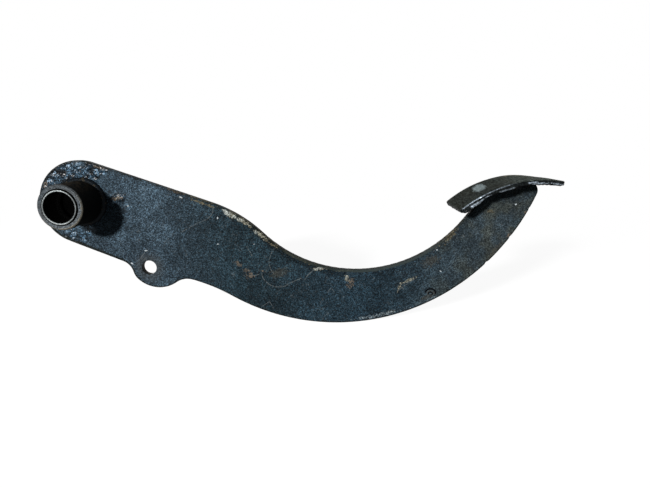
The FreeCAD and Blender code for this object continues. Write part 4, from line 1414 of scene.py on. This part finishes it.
# %% Shape the pad's relief
# Paint that hangs, and fills the dark shade below the near edge: from and to along the near edge,
# length of its two soft ends, height.
HANGS_INTO_SHADE = [
    (1.0, 9.0, 2.0, 3.0, 1.7), (0.0, 19.0, 2.5, 7.0, 1.5), (26.0, 41.0, 4.0, 4.0, 0.9),
    (48.0, 72.0, 6.0, 4.0, 0.8),
]
# Patches of painted glint: from and to along the edge, depth of their middle, half width, strength.
GLINT_PATCHES = [
    (5.5, 14.0, 2.9, 0.75, 0.75), (12.0, 23.5, 2.8, 0.40, 0.6), (27.0, 40.0, 3.0, 0.40, 0.3),
    (46.5, 54.0, 1.8, 0.50, 0.85), (49.0, 71.5, 2.3, 0.45, 0.7),
]
# Where the rounded border begins, in mm across and along the flat pad.
BORDER_ACROSS = 17
BORDER_ALONG = 2
# The arris carries a painted glint up to here, and a fainter one as far as its end.
ARRIS_GLINT_FULL = 19
ARRIS_END = 42
# The far edge is bent up at its left end, a little more further on, and down at its right end.
LIFT_LEFT = 0.6
LIFT_MORE = 0.25
DROP_RIGHT = 1.4


def stretch(along, start, end, rise, fall):
    """1 along a stretch of the edge, with soft ends."""
    return soft((along - start) / rise) * soft((end - along) / fall)


def pad_relief(place):
    """Relief of the flat pad in mm. Place is (along, through, across)."""
    along, through, across = place / MM
    half = half_pad / MM
    # The hanging paint is dark relief that also stands where there is only shade below the near
    # edge.
    hang = max(height * stretch(along, *ends) for *ends, height in HANGS_INTO_SHADE)
    run = hang * soft((through - 0.2) / 1.2) * soft((-15 - across) / 3)
    far_end = along > PAD_LENGTH / MM - BORDER_ALONG
    if abs(across) > BORDER_ACROSS or along < BORDER_ALONG or far_end:
        ragged = 0.34 * noise.noise((along / 1.4, through / 1.4, across / 1.4))
        ragged += 0.12 * noise.noise((along / 0.7, through / 0.7, across / 0.7))
        bead = soft(1 - abs(through - 0.6) / 0.8) * (0.25 + 0.3 * uneven(along, across, 2.5, 4.0))
        rough = -0.12 + ragged * soft((through + half) / 1.0) + bead
        return min(-0.02, rough) if across > BORDER_ACROSS or far_end else rough + run
    if through < -half + 0.01:
        return min(-0.02, -0.10 + 0.10 * uneven(along, across, 14, 1.0))
    return -0.03 + run


def glint_at(along, depth, across):
    """Painted glint on the near edge's gloss, by how deep below the top a point lies."""
    if across > -BORDER_ACROSS:
        return 0.0
    wave = noise.noise((along / 3.0, 2.0, depth / 0.8))
    fine = noise.noise((along / 1.1, 8.0, depth / 0.6))
    from_arris = abs(depth - 0.95 + 0.018 * max(0.0, along - 18))
    arris = soft(1.5 - from_arris / 0.30) * soft((along - 1.5) / 1.5)
    arris *= 1.0 if along < ARRIS_GLINT_FULL else 0.35 * soft((ARRIS_END - along) / 10)
    low = 0.0
    for start, end, centre, width, strength in GLINT_PATCHES:
        ends = stretch(along, start, end, 2, 2)
        low = max(low, strength * ends * soft(1.5 - abs(depth - centre) / width))
    low *= soft(0.55 + 1.1 * wave + 1.2 * fine)
    return max(arris * soft(0.9 + 0.8 * fine), low)


def lift_at(along, across):
    """The pad's far half is bent a little: up at its left end and down at its right end, in mm."""
    lift = LIFT_LEFT + LIFT_MORE * soft(along / 25) - DROP_RIGHT * soft((along - 42) / 28)
    return soft(across / 20) * lift


print(len(HANGS_INTO_SHADE), "runs of paint and", len(GLINT_PATCHES), "bright patches along the near edge")

# %% [markdown]
# Now the flat pad gets its relief and is bent: its length becomes an angle round the curve's
# centre, and its thickness a radius. Bending may turn the surface inside out, so its normals are
# worked out afresh.

# %% Bend the pad
pad.normal_update()
pad_values = {"rim": [], "bright": []}
moved = []
for vert in pad.verts:
    along, depth, across = vert.co.x / MM, (vert.co.y + half_pad) / MM, vert.co.z / MM
    pad_values["rim"].append(soft((depth - 0.2) / 0.3))
    # Painted glint on the near edge, kept for each point.
    pad_values["bright"].append(glint_at(along, depth, across))
    moved.append(vert.co + vert.normal * pad_relief(vert.co) * MM)
for vert, (along, through, across) in zip(pad.verts, moved):
    turn = PAD_FIRST - along / PAD_RADIUS
    radius = PAD_RADIUS - half_pad - through + lift_at(along / MM, across / MM) * MM
    x = PAD_CENTRE[0] + radius * math.cos(turn)
    vert.co = (x, across, PAD_CENTRE[1] + radius * math.sin(turn))
bmesh.ops.recalc_face_normals(pad, faces=pad.faces)
pad_mesh = finished_mesh("pad_sheet", pad, pad_values)
new_piece("pad_sheet", pad_mesh, PAD_PAINT, "pad_paint", "pad_plate")
print("pad:", len(pad_mesh.polygons), "faces")

# %% [markdown]
# ## Weld beads
# A weld bead is one run of metal whose surface shows a ripple for each time the pool froze.
# Geometry Nodes follow the seam: the path becomes a curve, a round section runs along it, and the
# points are pushed out by a ripple that bows along the bead. The bead's radius, the ripple's length
# and height and the unevenness are inputs, so that the same tree makes all four welds.
# The tree runs as a modifier. Its inputs are set by their identifiers before the object is first
# evaluated, and the result is turned into a plain mesh.

# %% Make the bead tree
BEAD_SIDES = 22
STEPS_IN_RIPPLE = 5.0
RIPPLE_BOW = 0.45
RIPPLE_MIDDLE = 0.6


def finish_tree(graph, shape, paint):
    """The end of every tree here: real faces, smooth and painted."""
    for kind in ("GeometryNodeRealizeInstances", "GeometryNodeSetShadeSmooth"):
        shape = graph.add(kind, {"Geometry": shape}).outputs[0]
    return graph.add("GeometryNodeSetMaterial", {"Geometry": shape, "Material": paint}).outputs[0]


def remember(graph, geometry, name, value):
    """Keeps a number for each point of a curve. Returns the curve and the number."""
    node = graph.add("GeometryNodeCaptureAttribute", {"Geometry": geometry})
    node.capture_items.new("FLOAT", name)
    graph.feed(node.inputs[name], value)
    return node.outputs[0], node.outputs[name]


def bead_tree():
    sockets = [
        ("Path", "Geometry", None), ("Radius", "Float", 3.0 * MM),
        ("Ripple length", "Float", 1.2 * MM), ("Ripple height", "Float", 0.2 * MM),
        ("Unevenness", "Float", 0.5 * MM), ("Paint", "Material", None),
    ]
    made = [("Bead", "Geometry")]
    graph, given, result = new_group("Weld bead", "GeometryNodeTree", sockets, made)
    path = graph.add("GeometryNodeMeshToCurve", {"Mesh": given["Path"]}).outputs[0]
    step = graph.math("DIVIDE", given["Ripple length"], STEPS_IN_RIPPLE)
    inputs = {"Curve": path, "Length": step}
    path = graph.add("GeometryNodeResampleCurve", inputs, mode="LENGTH").outputs[0]
    spline = graph.add("GeometryNodeSplineParameter").outputs
    path, along = remember(graph, path, "Along", spline["Length"])
    inputs = {"Resolution": BEAD_SIDES, "Radius": given["Radius"]}
    section = graph.add("GeometryNodeCurvePrimitiveCircle", inputs).outputs[0]
    spline = graph.add("GeometryNodeSplineParameter").outputs
    section, around = remember(graph, section, "Around", spline["Factor"])
    inputs = {"Curve": path, "Profile Curve": section, "Fill Caps": True}
    bead = graph.add("GeometryNodeCurveToMesh", inputs).outputs[0]
    bow = graph.times(graph.math("COSINE", graph.times(around, math.tau)), RIPPLE_BOW)
    phase = graph.math("ADD", graph.math("DIVIDE", along, given["Ripple length"]), bow)
    ripple = graph.math("ABSOLUTE", graph.math("SINE", graph.times(phase, math.pi)))
    ripple = graph.times(graph.math("SUBTRACT", ripple, RIPPLE_MIDDLE), given["Ripple height"])
    position = graph.add("GeometryNodeInputPosition").outputs[0]
    lumps = graph.noise(graph.scaled(position, 1 / MM), 2.6, detail=3.0)
    lumps = graph.times(graph.math("SUBTRACT", lumps, 0.5), given["Unevenness"])
    normal = graph.add("GeometryNodeInputNormal").outputs[0]
    push = graph.scaled(normal, graph.math("ADD", ripple, lumps))
    bead = graph.add("GeometryNodeSetPosition", {"Geometry": bead, "Offset": push}).outputs[0]
    graph.feed(result["Bead"], finish_tree(graph, bead, given["Paint"]))
    return graph.tree


def run_tree(tree, mesh, values):
    """Runs a Geometry Nodes tree on a mesh and returns the plain mesh that comes out."""
    carrier = bpy.data.objects.new("carrier", mesh)
    bpy.context.scene.collection.objects.link(carrier)
    modifier = carrier.modifiers.new("nodes", "NODES")
    modifier.node_group = tree
    for item in tree.interface.items_tree:
        if item.item_type == "SOCKET" and item.name in values:
            modifier[item.identifier] = values[item.name]
    depsgraph = bpy.context.evaluated_depsgraph_get()
    made = bpy.data.meshes.new_from_object(carrier.evaluated_get(depsgraph), depsgraph=depsgraph)
    carrier.modifiers.clear()
    bpy.data.objects.remove(carrier)
    return made


BEAD_TREE = bead_tree()
print("bead tree:", len(BEAD_TREE.nodes), "nodes")

# %% [markdown]
# The seams are found, not typed in. Round the tube it is a circle of the tube's own radius. Under
# the pad it is the inner corner of the CAD weld, and the bead goes on round the arm's edge as far
# as its middle, where it also fills a dark wedge that is shade.

# %% Lay the four beads
TUBE_SEAM_STEPS = 180
BEAD_LEAD = 2.6 * MM


def path_mesh(points, closed):
    """Mesh of edges only, from point to point."""
    count = len(points)
    edges = [(i, (i + 1) % count) for i in range(count if closed else count - 1)]
    mesh = bpy.data.meshes.new("path")
    mesh.from_pydata([tuple(p) for p in points], edges, [])
    return mesh


def tube_seam(node, side):
    """Circle round the tube where it meets a face of the arm."""
    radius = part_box("pivot_tube")[1].x
    turns = [math.tau * i / TUBE_SEAM_STEPS for i in range(TUBE_SEAM_STEPS)]
    return [(radius * math.cos(t), side * HALF_PLATE, radius * math.sin(t)) for t in turns]


def pad_seam(node, side):
    """Line under the pad where it meets a face of the arm, read from the CAD weld's corner."""
    corners = sorted({
        (round(v.co.x, 6), round(v.co.z, 6)) for v in NODES[node].data.vertices
        if abs(v.co.y - side * HALF_PLATE) < LEVEL
    })
    top = {}
    for x, z in corners:
        top[round(x / MM)] = max(top.get(round(x / MM), (x, -1.0)), (x, z), key=lambda p: p[1])
    seam = [(x, side * HALF_PLATE, z) for x, z in sorted(top.values())]
    # The bead also runs round the edge of the arm, half-way through its thickness, where it also
    # fills a dark wedge that is shade.
    lead = (Vector(seam[0]) - Vector(seam[3])).normalized() * BEAD_LEAD
    corner = Vector(seam[0]) + lead
    return [(corner.x, 0.0, corner.z), tuple(corner)] + seam


# Each bead: CAD piece, seam, side of the arm, closed or open, radius in mm.
BEADS = [
    ("tube_weld_front", tube_seam, -1, True, 2.3), ("tube_weld_back", tube_seam, 1, True, 2.0),
    ("pad_weld_front", pad_seam, -1, False, 2.0), ("pad_weld_back", pad_seam, 1, False, 2.0),
]
for node, seam, side, closed, radius in BEADS:
    values = {"Radius": radius * MM, "Paint": WELD_PAINT}
    mesh = run_tree(BEAD_TREE, path_mesh(seam(node, side), closed), values)
    new_piece(node + "_bead", mesh, WELD_PAINT, "weld_paint", node)
    print(node, len(mesh.polygons), "faces")

# %% [markdown]
# ## Weld spatter
# Small drops of metal were thrown on the plate round the tube and were painted over.
# They are scattered by Geometry Nodes on a patch of the plate's own surface, so that each one sits
# on it. The scatter has a fixed seed, and each drop is a flattened ball of a few faces.

# %% Scatter the drops
DROP_SEED = 4
DROPS_PER_SQUARE_METRE = 90000
LEAST_CRUST = 0.3


def drop_tree():
    sockets = [
        ("Surface", "Geometry", None), ("Density", "Float", 0.05),
        ("Smallest", "Float", 0.2 * MM), ("Largest", "Float", 0.6 * MM),
        ("Seed", "Int", DROP_SEED), ("Paint", "Material", None),
    ]
    made = [("Drops", "Geometry")]
    graph, given, result = new_group("Weld drops", "GeometryNodeTree", sockets, made)
    inputs = {"Mesh": given["Surface"], "Density": given["Density"], "Seed": given["Seed"]}
    points = graph.add("GeometryNodeDistributePointsOnFaces", inputs).outputs
    inputs = {"Radius": 1.0, "Subdivisions": 2}
    ball = graph.add("GeometryNodeMeshIcoSphere", inputs).outputs[0]
    inputs = {"Min": 0.0, "Max": 1.0, "Seed": given["Seed"]}
    random = graph.add("FunctionNodeRandomValue", inputs, data_type="FLOAT").outputs["Value"]
    # The third power makes most drops small.
    size = graph.between(graph.math("POWER", random, 3.0), given["Smallest"], given["Largest"])
    inputs = {
        "Points": points["Points"], "Instance": ball, "Rotation": points["Rotation"],
        "Scale": graph.scaled((1.0, 1.0, 0.7), size),
    }
    drops = graph.add("GeometryNodeInstanceOnPoints", inputs).outputs[0]
    graph.feed(result["Drops"], finish_tree(graph, drops, given["Paint"]))
    return graph.tree


def crust_patch(mesh, least):
    """The part of the plate's front that is covered by crust."""
    cover = np.zeros(len(mesh.vertices), np.float32)
    mesh.attributes["crust"].data.foreach_get("value", cover)
    work = bmesh.new()
    work.from_mesh(mesh)
    work.verts.ensure_lookup_table()
    bare = [v for v in work.verts if cover[v.index] < least or v.co.y > -HALF_PLATE * 0.8]
    bmesh.ops.delete(work, geom=bare, context="VERTS")
    patch = bpy.data.meshes.new("patch")
    work.to_mesh(patch)
    work.free()
    return patch


drop_mesh = run_tree(drop_tree(), crust_patch(arm_mesh, LEAST_CRUST), {
    "Density": DROPS_PER_SQUARE_METRE, "Seed": DROP_SEED, "Paint": WELD_PAINT,
})
new_piece("weld_spatter", drop_mesh, WELD_PAINT, "weld_paint")
print("spatter:", len(drop_mesh.polygons), "faces")

# %% [markdown]
# ## Floor
# The pedal stands on its lowest edge on a plain pale floor, which shows its soft shadow. Away
# from the object the floor is plain white to the camera and in reflections. That is done in its
# material, by what kind of ray looks at it, so it sends no more light up to the object.

# %% Make the floor
FLOOR_SIZE = 6.0
FLOOR_GAP = 0.1 * MM
FLOOR_MIDDLE = 0.14
SHADOW_REACH = (0.25, 0.8)
FLOOR_PALE = 0.22
FLOOR_GLOW = 0.935
FLOOR_PLAIN = 0.12
WHITE = (1, 1, 1, 1)


def looked_at(graph):
    """1 for rays from the camera and in reflections, 0 for rays that only gather light."""
    ray = graph.add("ShaderNodeLightPath").outputs
    return graph.most(ray["Is Camera Ray"], ray["Is Glossy Ray"], ray["Is Transmission Ray"])


def diffuse(graph, grey):
    return graph.add("ShaderNodeBsdfDiffuse", {"Color": (grey, grey, grey, 1)}).outputs[0]


def emission(graph, strength):
    return graph.add("ShaderNodeEmission", {"Color": WHITE, "Strength": strength}).outputs[0]


floor_mesh = bpy.data.meshes.new("floor")
half = FLOOR_SIZE / 2
floor_z = cad_box[0].z - FLOOR_GAP
corners = [(x, y, floor_z) for x, y in ((-half, -half), (half, -half), (half, half), (-half, half))]
floor_mesh.from_pydata(corners, [], [(0, 1, 2, 3)])
floor = bpy.data.objects.new("floor", floor_mesh)
bpy.context.scene.collection.objects.link(floor)
floor_material = bpy.data.materials.new("floor")
floor_material.use_nodes = True
floor_material.node_tree.nodes.clear()
graph = Graph(floor_material.node_tree)
seen = looked_at(graph)
place = graph.add("ShaderNodeTexCoord").outputs["Object"]
away = graph.distance(place, (FLOOR_MIDDLE, 0, floor_z))
white = graph.times(seen, graph.step(away, *SHADOW_REACH))
inputs = {0: diffuse(graph, FLOOR_PALE), 1: emission(graph, FLOOR_GLOW)}
near = graph.add("ShaderNodeAddShader", inputs).outputs[0]
inputs = {0: seen, 1: diffuse(graph, FLOOR_PLAIN), 2: near}
shown = graph.add("ShaderNodeMixShader", inputs).outputs[0]
inputs = {0: white, 1: shown, 2: emission(graph, 1.0)}
surface = graph.add("ShaderNodeMixShader", inputs).outputs[0]
graph.add("ShaderNodeOutputMaterial", {"Surface": surface})
floor_mesh.materials.append(floor_material)
print("floor at", round(floor_z / MM, 1), "mm")

# %% [markdown]
# ## Light
# One small, strong lamp at the upper left throws the tube's shadow down to the right and gives
# it a border that is neither sharp nor lost. A weaker one stands low behind the part on the left:
# it doesn't reach what the picture shows, and the back would be black without it. The world is
# plain white where it is looked at, and adds only a little light.

# %% Light the part
AMBIENT = 0.02
LAMP_AIM = Vector((0.12, 0.0, -0.02))
LAMP_DISTANCE = 3.04
LAMP_SIZE = 0.32
KEY_FROM = Vector((-1.320, -2.580, 0.930))
KEY_POWER = 110.0
BACK_FROM = Vector((-1.6, 2.4, 0.15))
BACK_POWER = 34.0
world = bpy.data.worlds.new("studio")
world.use_nodes = True
world.node_tree.nodes.clear()
graph = Graph(world.node_tree)
strength = graph.between(looked_at(graph), AMBIENT, 1.0)
sky = graph.add("ShaderNodeBackground", {"Color": WHITE, "Strength": strength})
graph.add("ShaderNodeOutputWorld", {"Surface": sky.outputs[0]})
bpy.context.scene.world = world


def area_lamp(name, direction, power):
    """Round lamp that faces the part from a direction, and isn't seen itself."""
    data = bpy.data.lights.new(name, "AREA")
    data.shape = "DISK"
    data.size = LAMP_SIZE
    data.energy = power
    lamp = bpy.data.objects.new(name, data)
    lamp.location = LAMP_AIM + direction.normalized() * LAMP_DISTANCE
    lamp.rotation_mode = "QUATERNION"
    lamp.rotation_quaternion = direction.to_track_quat("Z", "Y")
    lamp.visible_camera = False
    bpy.context.scene.collection.objects.link(lamp)


area_lamp("key", KEY_FROM, KEY_POWER)
area_lamp("back", BACK_FROM, BACK_POWER)
bpy.context.scene.view_settings.view_transform = "Standard"
print("lit by two lamps and the world")
